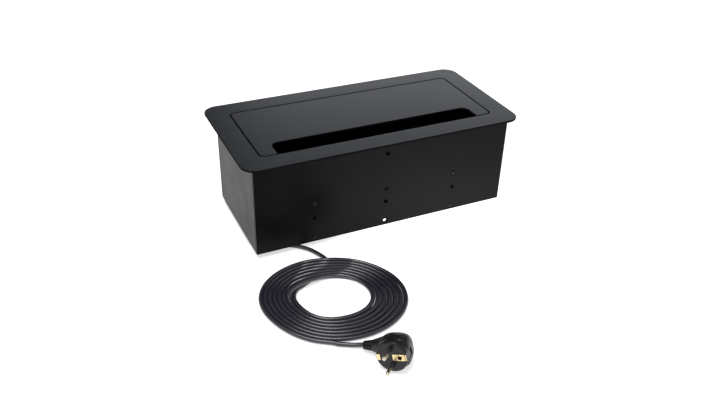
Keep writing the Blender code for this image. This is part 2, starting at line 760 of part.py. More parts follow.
def plug_axis():
    """An empty on the plug's face whose Z runs along the pins."""
    pins = Vector((
        math.cos(PLUG_HEADING) * math.cos(PLUG_LEAN),
        math.sin(PLUG_HEADING) * math.cos(PLUG_LEAN),
        math.sin(PLUG_LEAN),
    ))
    side = Z_AXIS.cross(pins).normalized()
    up = pins.cross(side)
    turn = Matrix((side, up, pins)).transposed().to_4x4()
    empty = bpy.data.objects.new("plug_axis", None)
    PARTS.objects.link(empty)
    empty.matrix_world = Matrix.Translation(PLUG_FACE) @ turn @ Matrix.Rotation(PLUG_ROLL, 4, "Z")
    return empty


def make_plug():
    axis = plug_axis()
    pieces = []
    body = turned(
        "plug_body",
        [(0, 0), (PLUG_RADIUS, 0), (PLUG_RADIUS, -PLUG_BARREL), (14 * MM, -PLUG_DEPTH + 3 * MM),
         (11 * MM, -PLUG_DEPTH), (0, -PLUG_DEPTH)],
        "black_plastic", 28,
    )
    pieces.append(body)
    neck = round_form((-5 * MM, 0, RELIEF_Z), -X_AXIS, RELIEF_END - 5 * MM, 7.5 * MM, 4.2 * MM, 16)
    neck_cutter = add_mesh("plug_neck", neck)
    combine(body, neck_cutter, "UNION")
    cuts = bmesh.new()
    for sign in (-1, 1):
        x0, x1 = sorted((sign * (PLUG_RADIUS - 2.5 * MM), sign * (PLUG_RADIUS + 2 * MM)))
        box_form((x0, -5 * MM, -15 * MM), (x1, 5 * MM, 2 * MM), cuts)
    round_form((10 * MM, 0, 2 * MM), -Z_AXIS, 16 * MM, 4.3 * MM, segments=16, form=cuts)
    for sign in (-1, 1):
        start = (0, sign * PLUG_PITCH, 1 * MM)
        round_form(start, -Z_AXIS, 9 * MM, PLUG_PIN_RADIUS + GAP, segments=16, form=cuts)
    cuts_cutter = add_mesh("plug_cuts", cuts)
    combine(body, cuts_cutter)
    for sign, name in ((1, "upper"), (-1, "lower")):
        profile = [
            (0, PLUG_PIN_LENGTH), (1.4 * MM, PLUG_PIN_LENGTH), (PLUG_PIN_RADIUS, PLUG_PIN_LENGTH - 1.2 * MM),
            (PLUG_PIN_RADIUS, -7.5 * MM), (0, -7.5 * MM),
        ]
        pin = turned(f"plug_pin_{name}", profile, "nickel", 16)
        pin.location = (0, sign * PLUG_PITCH, 0)
        pieces.append(pin)
    tube_form = round_form((10 * MM, 0, -13.5 * MM), Z_AXIS, 12 * MM, 4.0 * MM, segments=16)
    earth = add_mesh("plug_earth_socket", tube_form, "brass")
    bore = round_form((10 * MM, 0, -12 * MM), Z_AXIS, 14 * MM, 2.5 * MM, segments=16)
    bore_cutter = add_mesh("plug_earth_bore", bore)
    combine(earth, bore_cutter)
    pieces.append(earth)
    for sign, name in ((-1, "inner"), (1, "outer")):
        x0, x1 = sorted((sign * (PLUG_RADIUS - 2.2 * MM), sign * (PLUG_RADIUS - 1.2 * MM)))
        clip = box_form((x0, -3.5 * MM, -14.5 * MM), (x1, 3.5 * MM, -0.8 * MM))
        pieces.append(add_mesh(f"plug_earth_clip_{name}", clip, "brass"))
    for piece in pieces + [neck_cutter, cuts_cutter, bore_cutter]:
        piece.parent = axis


clear_scene()
PARTS = new_collection("desk_power_box")
CUTTERS = new_collection("cutters")
MATERIALS = make_materials()
make_frame()
make_frame_nuts()
make_lid()
make_hinges()
make_lid_rests()
make_panels()
make_module()
make_bracket_screws()
make_sockets()
make_contacts()
make_gland()
make_wires()
make_cord()
make_plug()
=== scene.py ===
import math

import bmesh
import bpy
import numpy as np
from mathutils import Matrix, Vector


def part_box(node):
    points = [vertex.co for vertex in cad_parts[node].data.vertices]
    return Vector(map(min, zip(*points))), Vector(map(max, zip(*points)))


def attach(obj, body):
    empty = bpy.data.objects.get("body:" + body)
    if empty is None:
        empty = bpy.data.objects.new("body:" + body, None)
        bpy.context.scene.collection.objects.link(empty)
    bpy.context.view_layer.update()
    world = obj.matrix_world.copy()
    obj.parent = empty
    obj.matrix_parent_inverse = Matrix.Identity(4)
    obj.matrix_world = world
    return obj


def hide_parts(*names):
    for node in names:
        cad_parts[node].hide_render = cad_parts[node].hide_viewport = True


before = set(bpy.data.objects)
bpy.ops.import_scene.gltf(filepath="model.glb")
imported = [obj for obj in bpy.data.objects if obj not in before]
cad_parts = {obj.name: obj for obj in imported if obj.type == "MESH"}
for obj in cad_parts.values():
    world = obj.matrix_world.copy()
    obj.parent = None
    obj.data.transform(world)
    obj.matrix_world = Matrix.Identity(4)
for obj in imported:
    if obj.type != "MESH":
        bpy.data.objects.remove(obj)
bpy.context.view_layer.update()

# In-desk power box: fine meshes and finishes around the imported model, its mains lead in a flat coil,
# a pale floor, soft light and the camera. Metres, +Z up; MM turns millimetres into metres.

MM = 0.001
X_AXIS, Y_AXIS, Z_AXIS = Vector((1, 0, 0)), Vector((0, 1, 0)), Vector((0, 0, 1))
SIDES = ((-1, "left"), (1, "right"))


def span(node):
    """Lowest and highest corner of a CAD node."""
    low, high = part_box(node)
    return Vector(low), Vector(high)


def centre(node):
    low, high = span(node)
    return (low + high) / 2


def add_object(name, data):
    obj = bpy.data.objects.new(name, data)
    bpy.context.scene.collection.objects.link(obj)
    return obj


# ---- Camera

def add_camera():
    azimuth, elevation, roll = (math.radians(angle) for angle in (-25.87, 32.26, 1.72))
    flat = math.cos(elevation)
    back = Vector((math.sin(azimuth) * flat, -math.cos(azimuth) * flat, math.sin(elevation)))
    right = Vector((math.cos(azimuth), math.sin(azimuth), 0))
    turn = Matrix((right, back.cross(right), back)).transposed() @ Matrix.Rotation(roll, 3, "Z")
    data = bpy.data.cameras.new("camera")
    data.sensor_fit = "HORIZONTAL"
    data.sensor_width = 36
    data.lens = 38.791
    data.shift_x = -0.0007
    data.shift_y = 0.0008
    data.clip_end = 50
    camera = add_object("camera", data)
    camera.matrix_world = Matrix.Translation((-0.42371, -0.87990, 0.60723)) @ turn.to_4x4()
    bpy.context.scene.camera = camera


# ---- Finishes

def socket_input(shader, name, value):
    shader.inputs[name].default_value = (*value, 1) if isinstance(value, tuple) else value


def noise(tree, scale, stretch=(1, 1, 1), detail=3.0):
    """Noise in the piece's own coordinates, in cycles a metre along each axis."""
    place = tree.nodes.new("ShaderNodeTexCoord")
    mapping = tree.nodes.new("ShaderNodeMapping")
    mapping.inputs["Scale"].default_value = stretch
    texture = tree.nodes.new("ShaderNodeTexNoise")
    texture.inputs["Scale"].default_value = scale
    texture.inputs["Detail"].default_value = detail
    tree.links.new(place.outputs["Object"], mapping.inputs["Vector"])
    tree.links.new(mapping.outputs["Vector"], texture.inputs["Vector"])
    return texture.outputs["Fac"]


def fade(tree, value, start, end, low=0.0, high=1.0, shape="SMOOTHSTEP"):
    """Goes from low at start to high at end."""
    node = tree.nodes.new("ShaderNodeMapRange")
    node.interpolation_type = shape
    for name, number in (("From Min", start), ("From Max", end), ("To Min", low), ("To Max", high)):
        node.inputs[name].default_value = number
    tree.links.new(value, node.inputs["Value"])
    return node.outputs["Result"]


def spread(tree, value, low, high):
    """Stretches a noise to a range."""
    return fade(tree, value, 0.3, 0.7, low, high, "LINEAR")


def mixed(tree, share, dark, light):
    mix = tree.nodes.new("ShaderNodeMix")
    mix.data_type = "RGBA"
    mix.inputs["A"].default_value = (*dark, 1)
    mix.inputs["B"].default_value = (*light, 1)
    tree.links.new(share, mix.inputs["Factor"])
    return mix.outputs["Result"]


def raised(tree, height, depth, below=None):
    """A bump of a given depth over another one."""
    bump = tree.nodes.new("ShaderNodeBump")
    bump.inputs["Strength"].default_value = 1
    bump.inputs["Distance"].default_value = depth
    tree.links.new(height, bump.inputs["Height"])
    if below:
        tree.links.new(below, bump.inputs["Normal"])
    return bump.outputs["Normal"]


FINISHES = {}


def add_finish(name, colour, vary, roughness, mottle, grain, **sockets):
    """A finish whose colour and roughness vary over the mottle and whose surface is bumped by the grain.

    mottle is (scale, stretch); grain is a list of (scale, stretch, depth).
    """
    material = bpy.data.materials.new(name)
    material.use_nodes = True
    tree = material.node_tree
    shader = tree.nodes["Principled BSDF"]
    for key, value in sockets.items():
        socket_input(shader, key.replace("_", " "), value)
    patches = noise(tree, *mottle, detail=4.0)
    dark = tuple(channel * (1 - vary) for channel in colour)
    light = tuple(channel * (1 + vary) for channel in colour)
    tree.links.new(mixed(tree, spread(tree, patches, 0, 1), dark, light), shader.inputs["Base Color"])
    tree.links.new(spread(tree, patches, *roughness), shader.inputs["Roughness"])
    normal = None
    for scale, stretch, depth in grain:
        normal = raised(tree, noise(tree, scale, stretch), depth, normal)
    tree.links.new(normal, shader.inputs["Normal"])
    FINISHES[name] = material


# Stretches of the noise: even, and drawn out along X into streaks
EVEN = (1, 1, 1)
STREAK = (0.012, 1, 1)


def add_finishes():
    coat = [(1500, EVEN, 0.012 * MM)]
    plastic = [(900, EVEN, 0.02 * MM), (60, EVEN, 0.04 * MM)]
    add_finish("brushed_black", (0.0320, 0.0375, 0.0460), 0.38, (0.30, 0.43), (620, STREAK),
               [(2600, STREAK, 0.012 * MM), (600, STREAK, 0.020 * MM)], Metallic=0.85)
    add_finish("black_coat", (0.0032, 0.0032, 0.0033), 0.12, (0.33, 0.40), (35, EVEN), coat,
               Specular_IOR_Level=0.085)
    # Near-black primer inside the housing, which also serves as painted shade on edges, seams, hole bores
    # and the module hangers
    add_finish("primer_and_shade", (0.0025, 0.0025, 0.0025), 0.10, (0.85, 0.95), (35, EVEN), coat,
               Specular_IOR_Level=0.1)
    add_finish("plug_black", (0.0085, 0.0083, 0.0105), 0.12, (0.26, 0.40), (120, EVEN), plastic,
               Specular_IOR_Level=0.35)
    add_finish("black_screw", (0.010, 0.010, 0.0105), 0.20, (0.22, 0.34), (500, EVEN),
               [(2500, EVEN, 0.006 * MM)], Metallic=0.1, Specular_IOR_Level=0.10)
    add_finish("cord_sheath", (0.022, 0.021, 0.031), 0.10, (0.20, 0.27), (70, EVEN),
               [(1800, EVEN, 0.010 * MM), (90, EVEN, 0.10 * MM)], Specular_IOR_Level=0.9)
    add_finish("rubber", (0.020, 0.020, 0.021), 0.16, (0.62, 0.80), (200, EVEN), [(1400, EVEN, 0.02 * MM)])
    for name, colour, vary, roughness, size in (
        ("black_plastic", (0.030, 0.030, 0.032), 0.12, (0.40, 0.56), 120),
        ("grey_plastic", (0.20, 0.20, 0.21), 0.06, (0.40, 0.52), 120),
        ("white_plastic", (0.72, 0.72, 0.69), 0.04, (0.38, 0.50), 120),
        ("wire_brown", (0.16, 0.06, 0.025), 0.08, (0.42, 0.52), 200),
        ("wire_blue", (0.03, 0.11, 0.45), 0.08, (0.42, 0.52), 200),
        ("wire_green", (0.20, 0.42, 0.05), 0.08, (0.42, 0.52), 200),
    ):
        add_finish(name, colour, vary, roughness, (size, EVEN), plastic)
    for name, colour, vary, roughness, size, grain in (
        ("zinc_steel", (0.42, 0.42, 0.40), 0.14, (0.30, 0.48), 140, (1200, EVEN, 0.006 * MM)),
        ("steel", (0.55, 0.55, 0.56), 0.08, (0.18, 0.32), 900, (3000, EVEN, 0.003 * MM)),
        ("brass", (0.82, 0.66, 0.36), 0.08, (0.20, 0.34), 300, (2000, EVEN, 0.004 * MM)),
        ("nickel", (0.66, 0.60, 0.50), 0.08, (0.16, 0.30), 300, (2000, EVEN, 0.003 * MM)),
    ):
        add_finish(name, colour, vary, roughness, (size, EVEN), [grain], Metallic=1.0)


# ---- Shapes

def arc(middle, radius, start, end, steps):
    """Points on an arc between two angles in degrees."""
    points = []
    for i in range(steps + 1):
        angle = math.radians(start + (end - start) * i / steps)
        points.append((middle[0] + radius * math.cos(angle), middle[1] + radius * math.sin(angle)))
    return points


def rounded_rectangle(x0, x1, y0, y1, radius, steps=8):
    left, right, front, rear = x0 + radius, x1 - radius, y0 + radius, y1 - radius
    points = []
    corners = ((right, front), (right, rear), (left, rear), (left, front))
    for corner, start in zip(corners, (-90, 0, 90, 180)):
        points += arc(corner, radius, start, start + 90, steps)
    return points


def add_spline(data, places):
    """A spline with straight parts from place to place."""
    spline = data.splines.new("POLY")
    spline.points.add(len(places) - 1)
    for point, place in zip(spline.points, places):
        point.co = (*place, 1)
    return spline


def evaluated_mesh(obj):
    """The mesh that an object's curve or modifiers give."""
    bpy.context.view_layer.update()
    graph = bpy.context.evaluated_depsgraph_get()
    return bpy.data.meshes.new_from_object(obj.evaluated_get(graph))


def plate(outlines, bottom, top, edge):
    """A plate from 2D outlines, those inside the first one being holes, with round edges of radius edge."""
    data = bpy.data.curves.new("outline", "CURVE")
    data.dimensions = "2D"
    data.fill_mode = "BOTH"
    data.extrude = (top - bottom) / 2 - edge
    data.bevel_depth = edge
    data.offset = -edge
    data.bevel_resolution = 2
    for outline in outlines:
        add_spline(data, [(x, y, 0) for x, y in outline]).use_cyclic_u = True
    curve = add_object("outline", data)
    mesh = evaluated_mesh(curve)
    bpy.data.objects.remove(curve)
    form = bmesh.new()
    form.from_mesh(mesh)
    bpy.data.meshes.remove(mesh)
    bmesh.ops.remove_doubles(form, verts=form.verts, dist=1e-6)
    bmesh.ops.translate(form, verts=form.verts, vec=(0, 0, (bottom + top) / 2))
    return form


def in_mm(points):
    return [tuple(value * MM for value in point) for point in points]


def lathe(profile, steps=32, place=None, form=None):
    """A closed solid of revolution about local Z, from (radius, height) points from top to bottom."""
    form = form or bmesh.new()
    rings = []
    for radius, height in profile:
        if radius < 1e-7:
            rings.append([form.verts.new((0, 0, height))])
            continue
        turns = [2 * math.pi * i / steps for i in range(steps)]
        rings.append([form.verts.new((radius * math.cos(a), radius * math.sin(a), height)) for a in turns])
    faces = []
    for upper, lower in zip(rings, rings[1:]):
        for i in range(steps):
            j = (i + 1) % steps
            corners = [ring[k % len(ring)] for ring, k in ((upper, i), (lower, i), (lower, j), (upper, j))]
            corners = list(dict.fromkeys(corners))
            if len(corners) > 2:
                faces.append(form.faces.new(corners))
    for ring in (rings[0], rings[-1]):
        if len(ring) > 1:
            faces.append(form.faces.new(ring))
    verts = [vert for ring in rings for vert in ring]
    if place:
        bmesh.ops.transform(form, matrix=place, verts=verts)
    bmesh.ops.recalc_face_normals(form, faces=faces)
    return form


def bore_cutter(place, axis, radius, reach, steps, form=None):
    """A round cutter that reaches equally far to both sides of a place."""
    profile = [(0, reach), (radius, reach), (radius, -reach), (0, -reach)]
    return lathe(profile, steps, facing(place, axis), form)


def box_form(low, high, form=None):
    form = form or bmesh.new()
    size = [b - a for a, b in zip(low, high)]
    middle = [(a + b) / 2 for a, b in zip(low, high)]
    bmesh.ops.create_cube(form, size=1, matrix=Matrix.Translation(middle) @ Matrix.Diagonal((*size, 1)))
    return form


def skin(form, rings):
    """Faces between each ring of corners and the next one."""
    faces = []
    for near, far in zip(rings, rings[1:]):
        for i in range(len(near)):
            j = (i + 1) % len(near)
            faces.append(form.faces.new((near[i], near[j], far[j], far[i])))
    return faces


def loft(sections, form=None):
    """A closed skin over closed sections that have the same number of points."""
    form = form or bmesh.new()
    rings = [[form.verts.new(point) for point in section] for section in sections]
    faces = [form.faces.new(rings[0]), form.faces.new(rings[-1])] + skin(form, rings)
    bmesh.ops.recalc_face_normals(form, faces=faces)
    return form


def prism(outline, axis, start, end, form=None):
    """A solid with a flat outline pushed along one axis; the outline holds the other two coordinates."""
    sections = []
    for at in (start, end):
        section = []
        for a, b in outline:
            place = [a, b]
            place.insert(axis, at)
            section.append(tuple(place))
        sections.append(section)
    return loft(sections, form)


def squarish(half_a, half_b, power, steps=40):
    """A superellipse: power 2 is an ellipse, higher is squarer."""
    points = []
    for i in range(steps):
        angle = 2 * math.pi * i / steps
        c, s = math.cos(angle), math.sin(angle)
        points.append((
            half_a * math.copysign(abs(c) ** (2 / power), c),
            half_b * math.copysign(abs(s) ** (2 / power), s),
        ))
    return points


def rounded_corners(points, radius, steps=5):
    """A 2D path with each inner corner replaced by an arc."""
    path = [Vector(points[0])]
    for before, corner, after in zip(points, points[1:], points[2:]):
        before, corner, after = Vector(before), Vector(corner), Vector(after)
        u, v = (before - corner).normalized(), (after - corner).normalized()
        half = u.angle(v) / 2
        reach = radius / math.tan(half)
        middle = corner + (u + v).normalized() * radius / math.sin(half)
        start, end = corner + u * reach - middle, corner + v * reach - middle
        for i in range(steps + 1):
            share = i / steps
            turn = math.pi - 2 * half
            weight = (math.sin((1 - share) * turn) * start + math.sin(share * turn) * end) / math.sin(turn)
            path.append(middle + weight)
    path.append(Vector(points[-1]))
    return path


def folded(points, axis, start, end, thickness, radius=1.25 * MM):
    """A folded sheet: a centre line with round bends, swept along one axis.

    The points hold (y, z) when axis is 0, (x, z) when it is 1 and (x, y) when it is 2.
    """
    path = rounded_corners(points, radius) if len(points) > 2 else [Vector(point) for point in points]
    pairs = []
    for i, point in enumerate(path):
        ahead = path[min(i + 1, len(path) - 1)] - path[max(i - 1, 0)]
        side = Vector((-ahead.y, ahead.x)).normalized() * thickness / 2
        pairs.append((point + side, point - side))
    form = bmesh.new()
    rows = []
    for at in (start, end):
        row = []
        for pair in pairs:
            corners = []
            for a, b in pair:
                place = [a, b]
                place.insert(axis, at)
                corners.append(form.verts.new(place))
            row.append(corners)
        rows.append(row)
    near, far = rows
    for i in range(len(pairs) - 1):
        for row in rows:
            form.faces.new((row[i][0], row[i][1], row[i + 1][1], row[i + 1][0]))
        for k in (0, 1):
            form.faces.new((near[i][k], near[i + 1][k], far[i + 1][k], far[i][k]))
    for i in (0, -1):
        form.faces.new((near[i][0], near[i][1], far[i][1], far[i][0]))
    bmesh.ops.recalc_face_normals(form, faces=form.faces)
    return form


def mesh_object(name, form):
    mesh = bpy.data.meshes.new(name)
    form.to_mesh(mesh)
    form.free()
    return add_object(name, mesh)


def apply_modifiers(obj):
    mesh = evaluated_mesh(obj)
    obj.modifiers.clear()
    obj.data = mesh


def combine(obj, form, operation="DIFFERENCE"):
    other = mesh_object("other", form)
    modifier = obj.modifiers.new(operation.title(), "BOOLEAN")
    modifier.object = other
    modifier.operation = operation
    modifier.solver = "EXACT"
    apply_modifiers(obj)
    bpy.data.objects.remove(other)


def shade(obj, angle):
    """Smooth shading, apart from edges sharper than an angle in degrees."""
    obj.data.shade_smooth()
    obj.data.set_sharp_from_angle(angle=math.radians(angle))


def add_piece(name, form, finish, body="box", nodes=(), cuts=(), edge=0.0, angle=32):
    """A finished piece: its form, less the cuts, with its sharp edges rounded by edge."""
    obj = mesh_object(name, form)
    for other in cuts:
        combine(obj, other)
    if edge:
        bevel = obj.modifiers.new("Edges", "BEVEL")
        bevel.width = edge
        bevel.segments = 2
        bevel.limit_method = "ANGLE"
        bevel.angle_limit = math.radians(angle)
        bevel.miter_outer = "MITER_ARC"
        apply_modifiers(obj)
    shade(obj, 46 if edge else angle)
    normals = obj.modifiers.new("Normals", "WEIGHTED_NORMAL")
    normals.keep_sharp = True
    return finish_piece(obj, finish, body, nodes)


def finish_piece(obj, finish, body="box", nodes=()):
    """Gives a piece its material and the body that it rides on, and hides the nodes that it stands for."""
    obj.data.materials.clear()
    obj.data.materials.append(FINISHES[finish])
    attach(obj, body)
    if nodes:
        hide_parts(*nodes)
    return obj


def darken(obj, chosen):
    """Gives the near-black primer, which also stands for painted shade, to the faces that a test of their
    middle and normal picks out.
    """
    obj.data.materials.append(FINISHES["primer_and_shade"])
    for face in obj.data.polygons:
        if chosen(obj.matrix_world @ face.center, face.normal):
            face.material_index = 1


def copy_piece(piece, name, place, finish, nodes):
    """Another piece with the same mesh."""
    obj = add_object(name, piece.data)
    obj.matrix_world = place
    finish_piece(obj, finish, nodes=nodes)


def facing(place, direction, roll=0.0):
    """A matrix that puts local Z along a direction."""
    turn = Vector(direction).to_track_quat("Z", "Y").to_matrix().to_4x4()
    return Matrix.Translation(place) @ turn @ Matrix.Rotation(roll, 4, "Z")


# ---- Mains lead

CORD_RADIUS = 2.85 * MM
# Places in mm: the gland to the coil's underside, and the coil's outer end to the plug
LEAD_ROUTE = [
    (-125.9, 9, 19), (-131, 9, 18.9), (-141, 8, 14.5), (-151, 2, 8), (-159, -9, 4), (-163, -23, 2.9),
    (-162.5, -39, 2.9), (-157.5, -54, 2.9), (-148, -67, 2.9), (-137, -75.5, 2.9), (-129, -81.5, 2.9),
    (-121.5, -88.8, 2.9), (-115, -97.5, 2.9), (-109.8, -108.5, 2.9), (-106.8, -115.5, 2.9),
]
TAIL_ROUTE = [
    (-154.5, -278.5, 2.9), (-150.3, -280.7, 2.9), (-142.5, -285.1, 2.9), (-136.0, -289.0, 3.8),
    (-130.3, -293.1, 5.5),
]
COIL_CENTRE = Vector((-133.54, -194.5)) * MM
COIL_TURN = math.radians(189.87)
COIL_FIRST = (42.13 * MM, 40.97 * MM)
COIL_STEP = (6.76 * MM, 5.23 * MM)
COIL_START = math.radians(120) - COIL_TURN
COIL_TURNS = 7.38
# How far the turns lie off the plain spiral: waves in a turn, then the cosine and the sine part in mm of the
# innermost turn, then those of the outermost
COIL_WAVES = (
    (1, (-4.83, 4.76), (-7.9, 6.17)), (2, (1.19, -3.29), (-4.73, -5.68)), (3, (-0.54, -0.07), (-0.14, 0.2)),
    (4, (-0.9, -0.09), (-0.56, -0.22)),
)
UNDER_RADIUS = 23 * MM
HUMP_REACH = 34 * MM
SETTLE = np.array((-0.69, -1.42))


def coil_point(turn):
    """The centre line at a number of turns from the innermost strand's start."""
    angle = COIL_START + 2 * math.pi * turn
    outer = turn / 7
    push = 0.10 * math.sin(8.6 * turn) + 0.08 * math.sin(23.0 * turn + 1)
    for waves, inside, outside in COIL_WAVES:
        parts = [a * (1 - outer) + b * outer for a, b in zip(inside, outside)]
        push += parts[0] * math.cos(waves * angle) + parts[1] * math.sin(waves * angle)
    along = (COIL_FIRST[0] + COIL_STEP[0] * turn + push * MM) * math.cos(angle)
    across = (COIL_FIRST[1] + COIL_STEP[1] * turn + push * MM) * math.sin(angle)
    c, s = math.cos(COIL_TURN), math.sin(COIL_TURN)
    return Vector((COIL_CENTRE.x + along * c - across * s, COIL_CENTRE.y + along * s + across * c, 0))


def reach_along(points):
    """The distance of each point from the first one, along the line through them."""
    return np.concatenate([[0], np.cumsum(np.linalg.norm(np.diff(points, axis=0), axis=1))])


def through(points, spacing):
    """Evenly spaced points on a smooth curve through the given points."""
    knots = [Vector(point) for point in points]
    knots = [2 * knots[0] - knots[1]] + knots + [2 * knots[-1] - knots[-2]]
    dense = []
    for a, b, c, d in zip(knots, knots[1:], knots[2:], knots[3:]):
        for i in range(16):
            t = i / 16
            dense.append(
                0.5 * (2 * b + (c - a) * t + (2 * a - 5 * b + 4 * c - d) * t ** 2
                       + (3 * b - a - 3 * c + d) * t ** 3)
            )
    dense.append(knots[-2])
    dense = np.array(dense)
    reach = reach_along(dense)
    even = np.linspace(0, reach[-1], max(2, round(reach[-1] / spacing)) + 1)
    return np.stack([np.interp(even, reach, dense[:, k]) for k in range(3)], axis=1)


def cord_route():
    """The whole centre line: lead, bend under the coil, coil from inside to outside, and tail."""
    lead = [Vector(point) * MM for point in LEAD_ROUTE]
    lead[0] = lead[0] + 4 * MM * X_AXIS
    heading = (lead[-1] - lead[-2]).to_2d().normalized()
    pivot = lead[-1] + UNDER_RADIUS * Vector((heading.y, -heading.x, 0))
    arm = lead[-1] - pivot
    bend = []
    for degrees in (22, 44, 66, 82):
        bend.append(pivot + Matrix.Rotation(-math.radians(degrees), 3, "Z") @ arm)
    turns = [coil_point(i / 24) for i in range(round(COIL_TURNS * 24) + 1)]
    tail = [Vector(point) * MM for point in TAIL_ROUTE]
    ahead = (tail[-1] - tail[-2]).normalized()
    tail.append(tail[-1] + 4 * MM * ahead)
    low = through(lead + bend + turns[:3], 1.5 * MM)
    points = through(lead + bend + turns + tail, 3 * MM)
    points[:, 2] = np.maximum(points[:, 2], CORD_RADIUS + 0.05 * MM)
    return lay_over(points, low)


def lay_over(points, low):
    """Lifts the coil in long low humps where it crosses the strand that lies under it.

    A lifted strand also settles to the front, so the whole band keeps its even spacing.
    """
    reach = reach_along(points)
    upper = np.flatnonzero(reach > reach_along(low)[-1] + 55 * MM)
    apart = np.abs(reach[upper][:, None] - reach[upper][None, :]) / HUMP_REACH
    bump = np.where(apart < 1, 0.5 + 0.5 * np.cos(np.pi * np.clip(apart, 0, 1)), 0)
    clear = 2 * CORD_RADIUS + 0.15 * MM
    flat = points[upper, :2].copy()
    for _ in range(4):
        gaps = np.linalg.norm(points[upper, None, :2] - low[None, :, :2], axis=2).min(axis=1)
        need = np.sqrt(np.clip(clear ** 2 - gaps ** 2, 0, None))
        lift = (need[None, :] * bump).max(axis=1)
        points[upper, :2] = flat + lift[:, None] * SETTLE
    points[upper, 2] += lift
    return points


def add_cord():
    """The lead as one round tube, with its length."""
    points = cord_route()
    data = bpy.data.curves.new("mains_lead", "CURVE")
    data.dimensions = "3D"
    data.bevel_depth = CORD_RADIUS
    data.bevel_resolution = 5
    data.use_fill_caps = True
    add_spline(data, points).use_smooth = True
    obj = add_object("mains_lead", data)
    finish_piece(obj, "cord_sheath", nodes=("cord_lead", "cord_coil", "cord_tail"))
    return obj, float(reach_along(points)[-1])


# ---- Frame and lid

FRAME_THICK = 3 * MM
LID_THICK = 2.5 * MM
SHEET = 1.5 * MM
NEARLY_FLAT = 0.997
OPENING_X, OPENING_Y, OPENING_RADIUS = 169.6 * MM, 67.4 * MM, 7.5 * MM


def thread(radius, top, bottom, pitch=0.7 * MM):
    """Profile points of a thread from top to bottom."""
    points = []
    count = int((top - bottom) / pitch)
    for i in range(count):
        points += [(radius, top - i * pitch), (radius * 0.84, top - (i + 0.5) * pitch)]
    return points + [(radius * 0.8, bottom), (0, bottom)]


def add_frame():
    """The frame round the opening, with four studs below it and their nuts."""
    low, high = span("top_frame")
    under = high.z - FRAME_THICK
    outer = rounded_rectangle(low.x, high.x, low.y, high.y, 20 * MM, 16)
    opening = rounded_rectangle(-OPENING_X, OPENING_X, -OPENING_Y, OPENING_Y, OPENING_RADIUS, 10)
    border = add_piece(
        "frame_plate", plate([outer, opening], under, high.z, 0.8 * MM), "brushed_black",
        nodes=("top_frame",),
    )
    # The seam's edge gets painted shade all over, the outer edge up to its last facet
    reach_x, reach_y = OPENING_X + 1 * MM, OPENING_Y + 1 * MM
    darken(border, lambda middle, normal: abs(normal.z) < (
        NEARLY_FLAT if abs(middle.x) < reach_x and abs(middle.y) < reach_y else 0.93
    ))
    first_nut = None
    for number in range(1, 5):
        node = f"frame_nut_{number}"
        middle = centre(node)
        spot = Vector((middle.x, middle.y, 0))
        profile = [(0, under + 0.5 * MM), (2.0 * MM, under + 0.5 * MM)] + thread(2.0 * MM, under, low.z)
        stud = lathe(profile, 24, Matrix.Translation(spot))
        add_piece(f"frame_stud_{number}", stud, "zinc_steel", angle=50)
        place = Matrix.Translation(middle)
        if first_nut:
            copy_piece(first_nut, f"hex_nut_{number}", place, "zinc_steel", (node,))
        else:
            first_nut = add_nut(f"hex_nut_{number}", place, node)


def add_nut(name, place, node):
    """A hexagon nut with chamfered corners and a bevelled bore."""
    across, half = 4.0 * MM, 1.6 * MM
    outline = arc((0, 0), across, 0, 300, 5)
    obj = mesh_object(name, prism(outline, 2, -half, half))
    rim = [(0, half), (3.5 * MM, half), (4.3 * MM, half - 0.5 * MM), (4.3 * MM, 0.5 * MM - half)]
    combine(obj, lathe(rim + [(3.5 * MM, -half), (0, -half)], 36), "INTERSECT")
    bore = [(0, 2 * half), (4.0 * MM, 2 * half), (2.25 * MM, half - 0.15 * MM)]
    combine(obj, lathe(bore + [(r, -z) for r, z in reversed(bore)], 24))
    shade(obj, 25)
    obj.matrix_world = place
    return finish_piece(obj, "zinc_steel", nodes=(node,))


def lid_outline():
    """The lid from above, from its cable slot round to the front left corner."""
    low, high = span("lid")
    slot_x, slot_rear, slot_radius = 146 * MM, -36.4 * MM, 10 * MM
    nip = 1.2 * MM
    points = arc((-slot_x - nip, low.y + nip), nip, -90, 0, 4)
    points += arc((-slot_x + slot_radius, slot_rear - slot_radius), slot_radius, 180, 90, 12)
    points += arc((slot_x - slot_radius, slot_rear - slot_radius), slot_radius, 90, 0, 12)
    points += arc((slot_x + nip, low.y + nip), nip, 180, 270, 4)
    return points + rounded_rectangle(low.x, high.x, low.y, high.y, 6.5 * MM)


def add_lid():
    """The lid's plate and its two ears, each ear with its hinge and the rest below its corner."""
    top = span("lid")[1].z
    under = top - LID_THICK
    cover = add_piece(
        "lid_plate", plate([lid_outline()], under, top, 0.7 * MM), "brushed_black", "lid", ("lid",)
    )
    # The lid's side faces all round get the near-black primer as painted shade
    darken(cover, lambda middle, normal: abs(normal.z) < NEARLY_FLAT)
    for sign, side in SIDES:
        pivot = centre(f"hinge_pin_{side}")
        y, z = pivot.y, pivot.z
        ear = [(y - 9 * MM, under), (y - 9 * MM, under - 0.8 * MM), (y - 5.6 * MM, under - 1.4 * MM)]
        ear += arc((y, z), 4.5 * MM, 180, 360, 14)
        ear += [(y + 5.6 * MM, under - 1.4 * MM), (y + 9 * MM, under - 0.8 * MM), (y + 9 * MM, under)]
        x = sign * 165 * MM
        add_piece(
            f"lid_ear_{side}", prism(ear, 0, x - 1.5 * MM, x + 1.5 * MM), "brushed_black", "lid",
            cuts=[bore_cutter((x, y, z), X_AXIS, 1.8 * MM, 3 * MM, 28)], edge=0.25 * MM, angle=50,
        )
        add_hinge(sign, side, pivot)
        add_rest(side)


